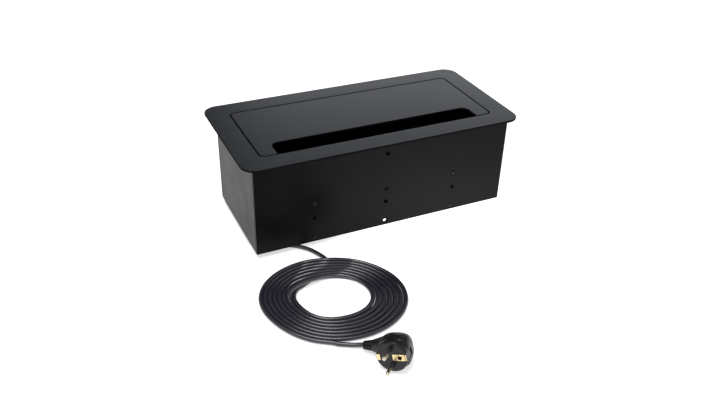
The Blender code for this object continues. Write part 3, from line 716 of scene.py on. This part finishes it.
def add_hinge(sign, side, pivot):
    """A bearing block with the pin that the lid's ear turns on, and the block's two screws."""
    low, high = span(f"hinge_block_{side}")
    inner_face = (low.x if sign > 0 else high.x, pivot.y, pivot.z)
    chamfered = [(low.y + 1.5 * MM, low.z), (high.y - 1.5 * MM, low.z), (high.y, low.z + 1.5 * MM),
                 (high.y, high.z), (low.y, high.z), (low.y, low.z + 1.5 * MM)]
    add_piece(
        f"hinge_bearing_{side}", prism(chamfered, 0, low.x, high.x), "black_coat",
        nodes=(f"hinge_block_{side}",), edge=0.35 * MM,
        cuts=[bore_cutter(inner_face, X_AXIS, 1.65 * MM, 9 * MM, 28)],
    )
    start, end = span(f"hinge_pin_{side}")
    inner = start.x if sign > 0 else end.x
    length = end.x - start.x
    profile = [(0, 0.4 * MM), (1.9 * MM, 0.4 * MM), (2.4 * MM, 0.0), (2.4 * MM, -0.3 * MM),
               (1.5 * MM, -0.4 * MM), (1.5 * MM, 0.4 * MM - length), (1.1 * MM, -length), (0, -length)]
    add_piece(
        f"hinge_rod_{side}", lathe(profile, 28, facing((inner, pivot.y, pivot.z), -sign * X_AXIS)), "steel",
        nodes=(f"hinge_pin_{side}",),
    )
    for end, y in (("front", low.y + 3.5 * MM), ("rear", high.y - 3.5 * MM)):
        place = Matrix.Translation(((low.x + high.x) / 2, y, low.z)) @ Matrix.Rotation(math.pi, 4, "X")
        head = lathe(in_mm([(0, 1.1), (1.2, 1.0), (2.0, 0.5), (2.1, 0), (0, 0)]), 24)
        slot = box_form((-2.5 * MM, -0.3 * MM, 0.5 * MM), (2.5 * MM, 0.3 * MM, 2 * MM))
        screw = add_piece(f"bearing_screw_{side}_{end}", head, "zinc_steel", cuts=[slot], angle=30)
        screw.matrix_world = place


def add_rest(side):
    """A folded ledge with a rubber buffer, on which a front corner of the lid rests."""
    low, high = span(f"lid_rest_{side}")
    z = (low.z + high.z) / 2
    path = [(low.y, z), (high.y - SHEET / 2, z), (high.y - SHEET / 2, z - 5 * MM)]
    add_piece(
        f"lid_ledge_{side}", folded(path, 0, low.x, high.x, SHEET, 1.3 * MM), "zinc_steel",
        nodes=(f"lid_rest_{side}",), edge=0.25 * MM, angle=60,
    )
    low, high = span(f"lid_bumper_{side}")
    tall = high.z - low.z
    profile = [(0, tall), (1.6 * MM, tall - 0.04 * MM), (2.6 * MM, tall - 0.3 * MM)]
    profile += [(3.3 * MM, tall - 0.9 * MM)] + in_mm([(3.6, 0.3), (4.0, 0.25), (4.0, 0), (0, 0)])
    spot = centre(f"lid_bumper_{side}")
    add_piece(
        f"lid_buffer_{side}", lathe(profile, 32, Matrix.Translation((spot.x, spot.y, low.z))), "rubber",
        nodes=(f"lid_bumper_{side}",), angle=40,
    )


# ---- Housing

# Radius of the bare holes, and of their bevel at the face
BARE_HOLE = (2.3 * MM, 3.3 * MM)
SPARE_HOLE_Z = 44.2 * MM
MIDDLE_HOLES_Z = (119 * MM, 65 * MM, 45 * MM, 14 * MM)


def drill(place, outward, bore, wide, form, depth=4 * MM):
    """A cutter for a hole that opens out at 45 degrees to a given radius at the face."""
    clear = 1 * MM
    profile = [(0, clear), (wide + clear, clear), (bore, bore - wide), (bore, -depth), (0, -depth)]
    return lathe(profile, 36, facing(place, outward), form)


def fixing_cuts(name, face, outward):
    """Countersinks at the screws of one panel and, in front, its bare bevelled holes."""
    cuts = bmesh.new()
    for _, side in SIDES:
        for level in ("upper", "lower"):
            spot = centre(f"{name}_screw_{side}_{level}")
            drill((spot.x, face, spot.z), outward, 2.4 * MM, 4.95 * MM, cuts)
        if name == "front":
            drill((spot.x, face, SPARE_HOLE_Z), outward, *BARE_HOLE, cuts)
    if name == "front":
        for z in MIDDLE_HOLES_Z:
            drill((0, face, z), outward, *BARE_HOLE, cuts)
    return cuts


def stud_holes(panel):
    """Holes in one panel's top tab for the studs that come through it."""
    cuts = bmesh.new()
    low, high = span(panel)
    for number in range(1, 5):
        spot = centre(f"frame_nut_{number}")
        if low.y < spot.y < high.y:
            drill((spot.x, spot.y, high.z), Z_AXIS, 2.3 * MM, 2.5 * MM, cuts)
    return cuts


def add_walls():
    """Four folded panels, which wear primer on the side that looks into the housing, near-black as painted
    shade; the front panel's hole bores get the same painted shade.
    """
    half = SHEET / 2
    skin = 0.1 * MM
    for name, outward in (("front", -Y_AXIS), ("rear", Y_AXIS)):
        panel = f"{name}_panel"
        low, high = span(panel)
        path = [(low.y + half, low.z), (low.y + half, high.z - half), (high.y, high.z - half)]
        faces = (low.y, low.y + SHEET)
        outer, inner = faces if name == "front" else faces[::-1]
        wall = add_piece(
            f"{name}_wall", folded(path, 0, low.x, high.x, SHEET), "black_coat", nodes=(panel,),
            cuts=(fixing_cuts(name, outer, outward), stud_holes(panel)),
        )
        # Painted shade: the near-black primer on the inner side and, in front, in the bores of the holes
        darken(wall, lambda middle, normal: (
            (middle.y - inner) * outward.y < skin and normal.dot(outward) < -0.5
            or name == "front" and in_hole(middle, normal, low, high)
        ))
    for sign, side in SIDES:
        panel = f"{side}_panel"
        low, high = span(panel)
        root = (low.x if sign < 0 else high.x) - sign * half
        tip = high.x if sign < 0 else low.x
        path = [(tip, low.y + half), (root, low.y + half), (root, high.y - half), (tip, high.y - half)]
        wall = add_piece(f"{side}_wall", folded(path, 2, low.z, high.z, SHEET), "black_coat", nodes=(panel,))
        reach = abs(root) - half + skin
        darken(wall, lambda middle, normal: abs(middle.x) < reach and abs(normal.z) < 0.5)


def in_hole(middle, normal, low, high):
    """Whether a face lies in a hole of the front panel, whose box runs from low to high."""
    inside = low.z + 1 * MM < middle.z < high.z - 4 * MM and abs(middle.x) < high.x - 4 * MM
    return inside and abs(normal.y) < 0.9


def cross_recess():
    """A cutter for a tapered cross."""
    cuts = bmesh.new()
    for size in ((5.2 * MM, 1.4 * MM), (1.4 * MM, 5.2 * MM)):
        corners = ((-1, -1), (1, -1), (1, 1), (-1, 1))
        top = [(a * size[0] / 2, b * size[1] / 2, 0.6 * MM) for a, b in corners]
        bottom = [(x * 0.62, y * 0.62, -1.6 * MM) for x, y, _ in top]
        loft([top, bottom], cuts)
    return cuts


def add_screws():
    """Eight countersunk cross-head screws, each turned to its own angle."""
    first = None
    rolls = (17, 62, 38, 80, 5, 49, 71, 28)
    names = [
        f"{face}_screw_{side}_{level}"
        for face in ("front", "rear") for _, side in SIDES for level in ("upper", "lower")
    ]
    for name, roll in zip(names, rolls):
        low, high = span(name)
        middle = centre(name)
        outward = -Y_AXIS if name.startswith("front") else Y_AXIS
        face = low.y if outward.y < 0 else high.y
        place = facing((middle.x, face, middle.z), outward, math.radians(roll))
        if not first:
            profile = in_mm([(0, 0.55), (2.0, 0.42), (3.3, 0.12), (3.9, -0.15), (4.2, -0.55), (3.5, -1.3),
                             (2.1, -2.4)])
            obj = mesh_object(f"{name}_head", lathe(profile + thread(2.1 * MM, -2.6 * MM, -10 * MM), 40))
            combine(obj, cross_recess())
            shade(obj, 35)
            obj.matrix_world = place
            first = finish_piece(obj, "black_screw", nodes=(name,))
        else:
            copy_piece(first, f"{name}_head", place, "black_screw", (name,))


# ---- Socket module

# Radius, reach and steps of the hole that the gland passes through
GLAND_HOLE = (6.3 * MM, 9 * MM, 32)
PIN_OFFSET = 9.5 * MM


def add_module():
    """The tray and the deck of the module, closed by an end and hung from a bracket at each side."""
    low, high = span("module_channel")
    wall = 1.8 * MM
    half = wall / 2
    path = [(low.y + half, high.z), (low.y + half, low.z + half), (high.y - half, low.z + half),
            (high.y - half, high.z)]
    add_piece(
        "module_tray", folded(path, 0, low.x, high.x, wall, 1.6 * MM), "black_coat",
        nodes=("module_channel",), edge=0.2 * MM, angle=60,
    )
    low, high = span("socket_plate")
    outline = rounded_rectangle(low.x, high.x, low.y, high.y, 1 * MM, 4)
    holes = [arc((centre(f"socket_insert_{n}").x, centre("socket_plate").y), 22.5 * MM, 0, 355, 71)
             for n in (1, 2, 3)]
    add_piece("socket_deck", plate([outline] + holes, low.z, high.z, 0.25 * MM), "black_coat",
              nodes=("socket_plate",))
    for sign, side in SIDES:
        add_end(sign, side)


def add_end(sign, side):
    low, high = span(f"end_cap_{side}")
    gland = centre("cord_gland")
    cuts = []
    if sign < 0:
        cuts.append(bore_cutter((low.x, gland.y, gland.z), X_AXIS, *GLAND_HOLE))
    outline = rounded_rectangle(low.y, high.y, low.z, high.z, 2 * MM, 5)
    add_piece(f"end_plate_{side}", prism(outline, 0, low.x, high.x), "black_plastic",
              nodes=(f"end_cap_{side}",), cuts=cuts, edge=0.4 * MM, angle=50)
    low, high = span(f"module_bracket_{side}")
    half = SHEET / 2
    root = (high.x - half) if sign < 0 else (low.x + half)
    tip = low.x if sign < 0 else high.x
    path = [(tip, low.y + half), (root, low.y + half), (root, high.y - half), (tip, high.y - half)]
    bores = bmesh.new()
    for level in ("upper", "lower"):
        spot = centre(f"front_screw_{side}_{level}")
        bore_cutter((spot.x, 0, spot.z), Y_AXIS, 2.4 * MM, 90 * MM, 24, bores)
    cuts = [bores]
    if sign < 0:
        cuts.append(bore_cutter((root, gland.y, gland.z), X_AXIS, *GLAND_HOLE))
    # The hanger wears the near-black primer as painted shade
    add_piece(f"module_hanger_{side}", folded(path, 2, low.z, high.z, SHEET), "primer_and_shade",
              nodes=(f"module_bracket_{side}",), cuts=cuts)


def add_sockets():
    """Three earthed sockets: a square face over a round cup with guide ribs, a shutter and a strap."""
    low, high = span("socket_insert_1")
    half = (high.x - low.x) / 2
    top, floor, under = high.z, high.z - 17.5 * MM, low.z
    face_under = span("socket_plate")[1].z + 0.3 * MM
    outline = rounded_rectangle(-half, half, -half, half, 4 * MM, 6)
    obj = mesh_object("socket_face_1", plate([outline], face_under, top, 0.8 * MM))
    cup = [(0, face_under + 1 * MM), (22 * MM, face_under + 1 * MM), (22 * MM, under + 0.8 * MM),
           (21.2 * MM, under), (0, under)]
    combine(obj, lathe(cup, 72), "UNION")
    well = [(0, top + 1 * MM), (21.75 * MM, top + 1 * MM), (19.75 * MM, top - 1 * MM),
            (19.75 * MM, floor + 0.6 * MM), (19.15 * MM, floor), (0, floor)]
    combine(obj, lathe(well, 72))
    ribs = bmesh.new()
    for sign in (-1, 1):
        tip, root = sign * 17.4 * MM, sign * 20.6 * MM
        rib = [(tip, -1.9 * MM), (root, -2.6 * MM), (root, 2.6 * MM), (tip, 1.9 * MM)]
        prism(rib, 2, floor - 1 * MM, top - 2.2 * MM, ribs)
    combine(obj, ribs, "UNION")
    cuts = bmesh.new()
    for sign in (-1, 1):
        drill((sign * PIN_OFFSET, 0, floor), Z_AXIS, 2.8 * MM, 3.6 * MM, cuts)
        y = sign * 18.05 * MM
        box_form((-3.5 * MM, y - 0.9 * MM, under - 1 * MM), (3.5 * MM, y + 0.9 * MM, floor + 1 * MM), cuts)
    combine(obj, cuts)
    pocket = box_form((-15 * MM, -9.6 * MM, under - 1 * MM), (15 * MM, 10.2 * MM, under + 2 * MM))
    combine(obj, pocket)
    shade(obj, 30)
    middle = centre("socket_insert_1")
    obj.matrix_world = Matrix.Translation((middle.x, middle.y, 0))
    finish_piece(obj, "black_plastic", nodes=("socket_insert_1",))
    for number in (1, 2, 3):
        middle = centre(f"socket_insert_{number}")
        place = Matrix.Translation((middle.x, middle.y, 0))
        if number > 1:
            name = f"socket_face_{number}"
            copy_piece(obj, name, place, "black_plastic", (f"socket_insert_{number}",))
        add_shutter(number, middle)
        add_strap(number)


def add_shutter(number, middle):
    """A sliding blade with two pin holes, which lie 5 mm beside the socket's own when it is closed."""
    low, high = span(f"shutter_{number}")
    outline = rounded_rectangle(low.x, high.x, low.y, high.y, 1.5 * MM, 5)
    y = middle.y + 5 * MM
    holes = [arc((middle.x + sign * PIN_OFFSET, y), 2.8 * MM, 0, 345, 23) for sign in (-1, 1)]
    add_piece(
        f"shutter_blade_{number}", plate([outline] + holes, low.z, high.z, 0.2 * MM), "grey_plastic",
        f"shutter_{number}", (f"shutter_{number}",),
    )


def add_strap(number):
    """A sprung brass strap, bowed inwards at the contacts and curled at its tips."""
    low, high = span(f"earth_strap_{number}")
    half = 0.35 * MM
    tip, root = high.z - half, low.z + half
    side = [(0.9, tip), (0, tip - 2.2 * MM), (1.3, tip - 7 * MM), (0, tip - 12 * MM), (0, root)]
    left = [(low.y + half + a * MM, z) for a, z in side]
    right = [(high.y - half - a * MM, z) for a, z in reversed(side)]
    add_piece(
        f"earth_spring_{number}", folded(left + right, 0, low.x, high.x, 0.7 * MM, 0.9 * MM), "brass",
        nodes=(f"earth_strap_{number}",), angle=60,
    )


def add_gland():
    """A ribbed, tapered strain relief through the end plate."""
    low, high = span("cord_gland")
    spot = centre("cord_gland")
    flange = 99 * MM
    profile = [(0, -low.x), (3.6 * MM, -low.x), (4.2 * MM, -low.x - 0.5 * MM)]
    count = 7
    for i in range(count):
        at = -low.x - 1.2 * MM - i * 2.7 * MM
        radius = (4.3 + 1.7 * i / (count - 1)) * MM
        profile += [(radius, at), (radius, at - 1.5 * MM), (radius - 0.9 * MM, at - 1.8 * MM),
                    (radius - 0.9 * MM, at - 2.4 * MM)]
    profile += [(6.2 * MM, flange + 3 * MM), (8.1 * MM, flange + 3 * MM), (8.5 * MM, flange + 2.6 * MM),
                (8.5 * MM, flange), (5.9 * MM, flange), (5.9 * MM, -high.x), (0, -high.x)]
    return add_piece("lead_grommet", lathe(profile, 40, facing((0, spot.y, spot.z), -X_AXIS)), "rubber",
                     nodes=("cord_gland",), edge=0.2 * MM, angle=50)


# ---- Plug, whose local axes are X towards the earth hole, Y from pin to pin and Z along the pins

PLUG_FACE = (-118.3 * MM, -337.8 * MM, 20.7 * MM)
NECK_Z = -22 * MM
# (height, half width, half depth) of the moulded back, in mm
PLUG_BACK = (
    (-9, 18.2, 18.2), (-14, 18.4, 18.3), (-19, 18.2, 17.5), (-24, 17.4, 16.2), (-27.5, 16.2, 14.8),
    (-29.5, 14.6, 13.2),
)
# (reach, half width, half depth) of the neck, in mm
PLUG_NECK = (
    (-4, 14, 10.5), (-12, 12.6, 9.8), (-18, 10.6, 8.9), (-23, 8.8, 8.0), (-26, 7.6, 7.3), (-29, 7.0, 6.9),
)


def plug_place():
    heading, lean, roll = (math.radians(angle) for angle in (-137, 6.6, 16.4))
    pins = Vector((math.cos(heading) * math.cos(lean), math.sin(heading) * math.cos(lean), math.sin(lean)))
    side = Z_AXIS.cross(pins).normalized()
    turn = Matrix((side, pins.cross(side), pins)).transposed().to_4x4()
    return Matrix.Translation(PLUG_FACE) @ turn @ Matrix.Rotation(roll, 4, "Z")


def add_plug():
    """The moulded body, with its relief, pins and earth contacts."""
    place = plug_place()
    barrel = [(0, 0), (16.8, 0), (17.8, -0.25), (18.45, -0.8), (18.75, -1.7), (18.75, -17), (17.5, -20),
              (0, -21)]
    obj = mesh_object("plug_moulding", lathe(in_mm(barrel), 96))
    back = [[(x, y, z * MM) for x, y in squarish(a * MM, b * MM, 3.2)] for z, a, b in PLUG_BACK]
    combine(obj, loft(back), "UNION")
    neck = [[(x * MM, y, NECK_Z + z) for y, z in squarish(a * MM, b * MM, 2.6)] for x, a, b in PLUG_NECK]
    combine(obj, loft(neck), "UNION")
    remesh = obj.modifiers.new("Remesh", "REMESH")
    remesh.mode = "VOXEL"
    remesh.voxel_size = 0.6 * MM
    soften = obj.modifiers.new("Soften", "SMOOTH")
    soften.factor = 0.5
    soften.iterations = 5
    apply_modifiers(obj)
    cuts = bmesh.new()
    for sign in (-1, 1):
        x0, x1 = sorted((sign * 17.6 * MM, sign * 20.5 * MM))
        box_form((x0, -5 * MM, -15 * MM), (x1, 5 * MM, 2 * MM), cuts)
        drill((0, sign * PIN_OFFSET, 0), Z_AXIS, 2.55 * MM, 3.0 * MM, cuts, 9 * MM)
    drill((10 * MM, 0, 0), Z_AXIS, 4.3 * MM, 4.6 * MM, cuts, 14 * MM)
    combine(obj, cuts)
    shade(obj, 38)
    obj.matrix_world = place
    pieces = [finish_piece(obj, "plug_black", nodes=("plug_body",))]
    pieces.append(add_relief(place))
    for sign, name in ((1, "upper"), (-1, "lower")):
        at = place @ Matrix.Translation((0, sign * PIN_OFFSET, 0))
        tip = [(0, 19), (1.1, 18.95), (1.9, 18.4), (2.4, 17.3), (2.4, 9.6), (0, 9.6)]
        sleeve = [(0, 9.8), (2.15, 9.8), (2.32, 9.6), (2.32, -7.5), (0, -7.5)]
        form = lathe(in_mm(tip), 36, at)
        pieces.append(add_piece(f"pin_tip_{name}", form, "nickel", nodes=(f"plug_pin_{name}",), angle=45))
        form = lathe(in_mm(sleeve), 36, at)
        pieces.append(add_piece(f"pin_sleeve_{name}", form, "black_plastic", angle=45))
    pieces += add_earth(place)
    return pieces


def add_relief(place):
    """The ribbed strain relief on the neck, with a smooth collar at the plug."""
    profile = [(0, 41.3), (4.4, 41.3), (4.9, 40.9)]
    for i in range(6):
        radius = 5.1 + 0.3 * i
        at = 40.3 - 2.1 * i
        profile += [(radius, at), (radius, at - 1.05), (radius - 1.1, at - 1.25), (radius - 1.1, at - 1.9)]
    profile += [(6.7, 27.4), (6.7, 24), (0, 24)]
    form = lathe(in_mm(profile), 48, place @ facing((0, 0, NECK_Z), -X_AXIS))
    return add_piece("plug_relief", form, "plug_black", edge=0.15 * MM, angle=50)


def add_earth(place):
    """The brass contact plate with its rolled hole, and the two side clips."""
    outline = rounded_rectangle(1.6 * MM, 15.6 * MM, -3.9 * MM, 3.9 * MM, 1.2 * MM, 6)
    hole = arc((10 * MM, 0), 2.7 * MM, 0, 350, 35)
    form = plate([outline, hole], -0.1 * MM, 0.6 * MM, 0.2 * MM)
    bmesh.ops.transform(form, matrix=place, verts=form.verts)
    pieces = [add_piece("earth_contact", form, "brass", nodes=("plug_earth_socket",), angle=40)]
    roll = [(2.5, 1.0), (2.8, 1.25), (3.3, 1.2), (3.6, 0.7), (3.7, 0.3), (3.7, -13.5), (2.5, -13.5)]
    form = bmesh.new()
    rings = []
    for r, z in in_mm(roll):
        ring = arc((10 * MM, 0), r, 0, 350, 35)
        rings.append([form.verts.new(place @ Vector((x, y, z))) for x, y in ring])
    skin(form, rings + rings[:1])
    bmesh.ops.recalc_face_normals(form, faces=form.faces)
    pieces.append(add_piece("earth_ferrule", form, "brass", angle=50))
    for sign, name, lip in ((-1, "inner", 12.9), (1, "outer", 16.3)):
        path = [(sign * 17.0 * MM, -14.5 * MM), (sign * 17.0 * MM, 0.1 * MM), (sign * lip * MM, 0.3 * MM)]
        form = folded(path, 1, -3.6 * MM, 3.6 * MM, 0.8 * MM, 0.8 * MM)
        bmesh.ops.transform(form, matrix=place, verts=form.verts)
        pieces.append(add_piece(f"side_clip_{name}", form, "brass", nodes=(f"plug_earth_clip_{name}",),
                                edge=0.15 * MM, angle=60))
    return pieces


# ---- Stage and light

def math_node(tree, operation, first, second):
    """Two values, each a number or an output, put through one math operation."""
    node = tree.nodes.new("ShaderNodeMath")
    node.operation = operation
    for socket, value in zip(node.inputs, (first, second)):
        if isinstance(value, (int, float)):
            socket.default_value = value
        else:
            tree.links.new(value, socket)
    return node.outputs["Value"]


def reach_from(tree, place, centre_xy, turn, radii):
    """Distance from a point on the floor, in units of an ellipse's radii."""
    mapping = tree.nodes.new("ShaderNodeMapping")
    mapping.vector_type = "TEXTURE"
    mapping.inputs["Location"].default_value = (*centre_xy, 0)
    mapping.inputs["Rotation"].default_value = (0, 0, turn)
    mapping.inputs["Scale"].default_value = (*radii, 1)
    length = tree.nodes.new("ShaderNodeVectorMath")
    length.operation = "LENGTH"
    tree.links.new(place, mapping.inputs["Vector"])
    tree.links.new(mapping.outputs["Vector"], length.inputs[0])
    return length.outputs["Value"]


FLOOR_GLOW = 0.56
# Place, radius and strength of the painted pool of light on the floor in front of the box
LIGHT_POOL_CENTRE, LIGHT_POOL_RADIUS, LIGHT_POOL_GLOW = (0.10, -0.12), 0.24, 1.9
# The painted shadow band under the coil, an ellipse less a smaller one
COIL_SHADOW_CENTRE = (-0.1258, -0.1994)
COIL_SHADOW_TURN = math.radians(159.5)
COIL_SHADOW_INNER = (0.050, 0.041)
COIL_SHADOW_OUTER = (0.0875, 0.0738)


def add_stage():
    """A white floor that glows, more in a painted pool of light in front of the box, and hardly at all under
    the box and under the coil, where shadow is painted.
    """
    form = bmesh.new()
    bmesh.ops.create_grid(form, x_segments=1, y_segments=1, size=12)
    floor = mesh_object("floor", form)
    floor.location.z = -0.2 * MM
    material = bpy.data.materials.new("floor")
    material.use_nodes = True
    tree = material.node_tree
    shader = tree.nodes["Principled BSDF"]
    place = tree.nodes.new("ShaderNodeTexCoord").outputs["Object"]
    split = tree.nodes.new("ShaderNodeSeparateXYZ")
    tree.links.new(place, split.inputs["Vector"])
    across = math_node(tree, "ABSOLUTE", split.outputs["X"], 0)
    # Painted shadow under the box's footprint, fading in at its front edge
    behind_front = fade(tree, split.outputs["Y"], -62 * MM, -38 * MM)
    before_rear = fade(tree, split.outputs["Y"], 72 * MM, 68 * MM)
    between = fade(tree, across, 186 * MM, 181 * MM)
    box_shadow = math_node(tree, "MULTIPLY", math_node(tree, "MULTIPLY", behind_front, before_rear), between)
    # Painted shadow in a band under the coil
    inner = reach_from(tree, place, COIL_SHADOW_CENTRE, COIL_SHADOW_TURN, COIL_SHADOW_INNER)
    outer = reach_from(tree, place, COIL_SHADOW_CENTRE, COIL_SHADOW_TURN, COIL_SHADOW_OUTER)
    coil_shadow = math_node(tree, "MULTIPLY", fade(tree, inner, 0.97, 1.03), fade(tree, outer, 1.02, 0.98))
    shade = math_node(tree, "MAXIMUM", box_shadow, math_node(tree, "MULTIPLY", coil_shadow, 0.93))
    lit = math_node(tree, "SUBTRACT", 1, shade)
    # Painted pool of light: the floor glows more towards the spot in front of the box
    near = reach_from(tree, place, LIGHT_POOL_CENTRE, 0, (LIGHT_POOL_RADIUS, LIGHT_POOL_RADIUS))
    glow = math_node(tree, "ADD", 1, fade(tree, near, 0, 1, LIGHT_POOL_GLOW, 0))
    strength = math_node(tree, "MULTIPLY", math_node(tree, "MULTIPLY", glow, FLOOR_GLOW), lit)
    tree.links.new(strength, shader.inputs["Emission Strength"])
    # Where shadow is painted, the floor's colour goes dark as well as its glow
    tree.links.new(mixed(tree, lit, (0.004, 0.004, 0.004), (0.9, 0.9, 0.9)), shader.inputs["Base Color"])
    socket_input(shader, "Roughness", 0.9)
    socket_input(shader, "Specular IOR Level", 0.0)
    socket_input(shader, "Emission Color", (1.0, 1.0, 1.0))
    floor.data.materials.append(material)


def add_light(name, place, target, size, power):
    data = bpy.data.lights.new(name, "AREA")
    data.shape = "RECTANGLE"
    data.size, data.size_y = size
    data.energy = power
    add_object(name, data).matrix_world = facing(place, Vector(place) - Vector(target))


def add_world():
    """A pale room that is darker behind the box."""
    world = bpy.data.worlds.new("studio")
    world.use_nodes = True
    tree = world.node_tree
    background = tree.nodes["Background"]
    split = tree.nodes.new("ShaderNodeSeparateXYZ")
    tree.links.new(tree.nodes.new("ShaderNodeTexCoord").outputs["Generated"], split.inputs["Vector"])
    tree.links.new(fade(tree, split.outputs["Y"], -0.1, 0.5, 0.55, 0.15), background.inputs["Strength"])
    background.inputs["Color"].default_value = (0.97, 0.985, 1, 1)
    bpy.context.scene.world = world


# Nodes that keep their solid, with the finish each one takes
KEPT = {
    "contact_carrier": "white_plastic", "live_bar": "brass", "neutral_bar": "brass", "earth_bar": "brass",
    "wire_live": "wire_brown", "wire_neutral": "wire_blue", "wire_earth": "wire_green",
}
bpy.context.scene.view_settings.view_transform = "Standard"
add_finishes()
add_camera()
for node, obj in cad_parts.items():
    obj.data.materials.clear()
    obj.data.materials.append(FINISHES[KEPT.get(node, "black_coat")])
cord, cord_length = add_cord()
add_frame()
add_lid()
add_walls()
add_screws()
add_module()
add_sockets()
grommet = add_gland()
plug = add_plug()
add_stage()
add_world()
add_light("sky", (-0.5, -0.2, 2.0), (0, -0.1, 0), (1.5, 1.2), 24)
add_light("rear", (0.95, 1.55, 0.62), (0, 0, 0.1), (1.4, 0.5), 4.2)
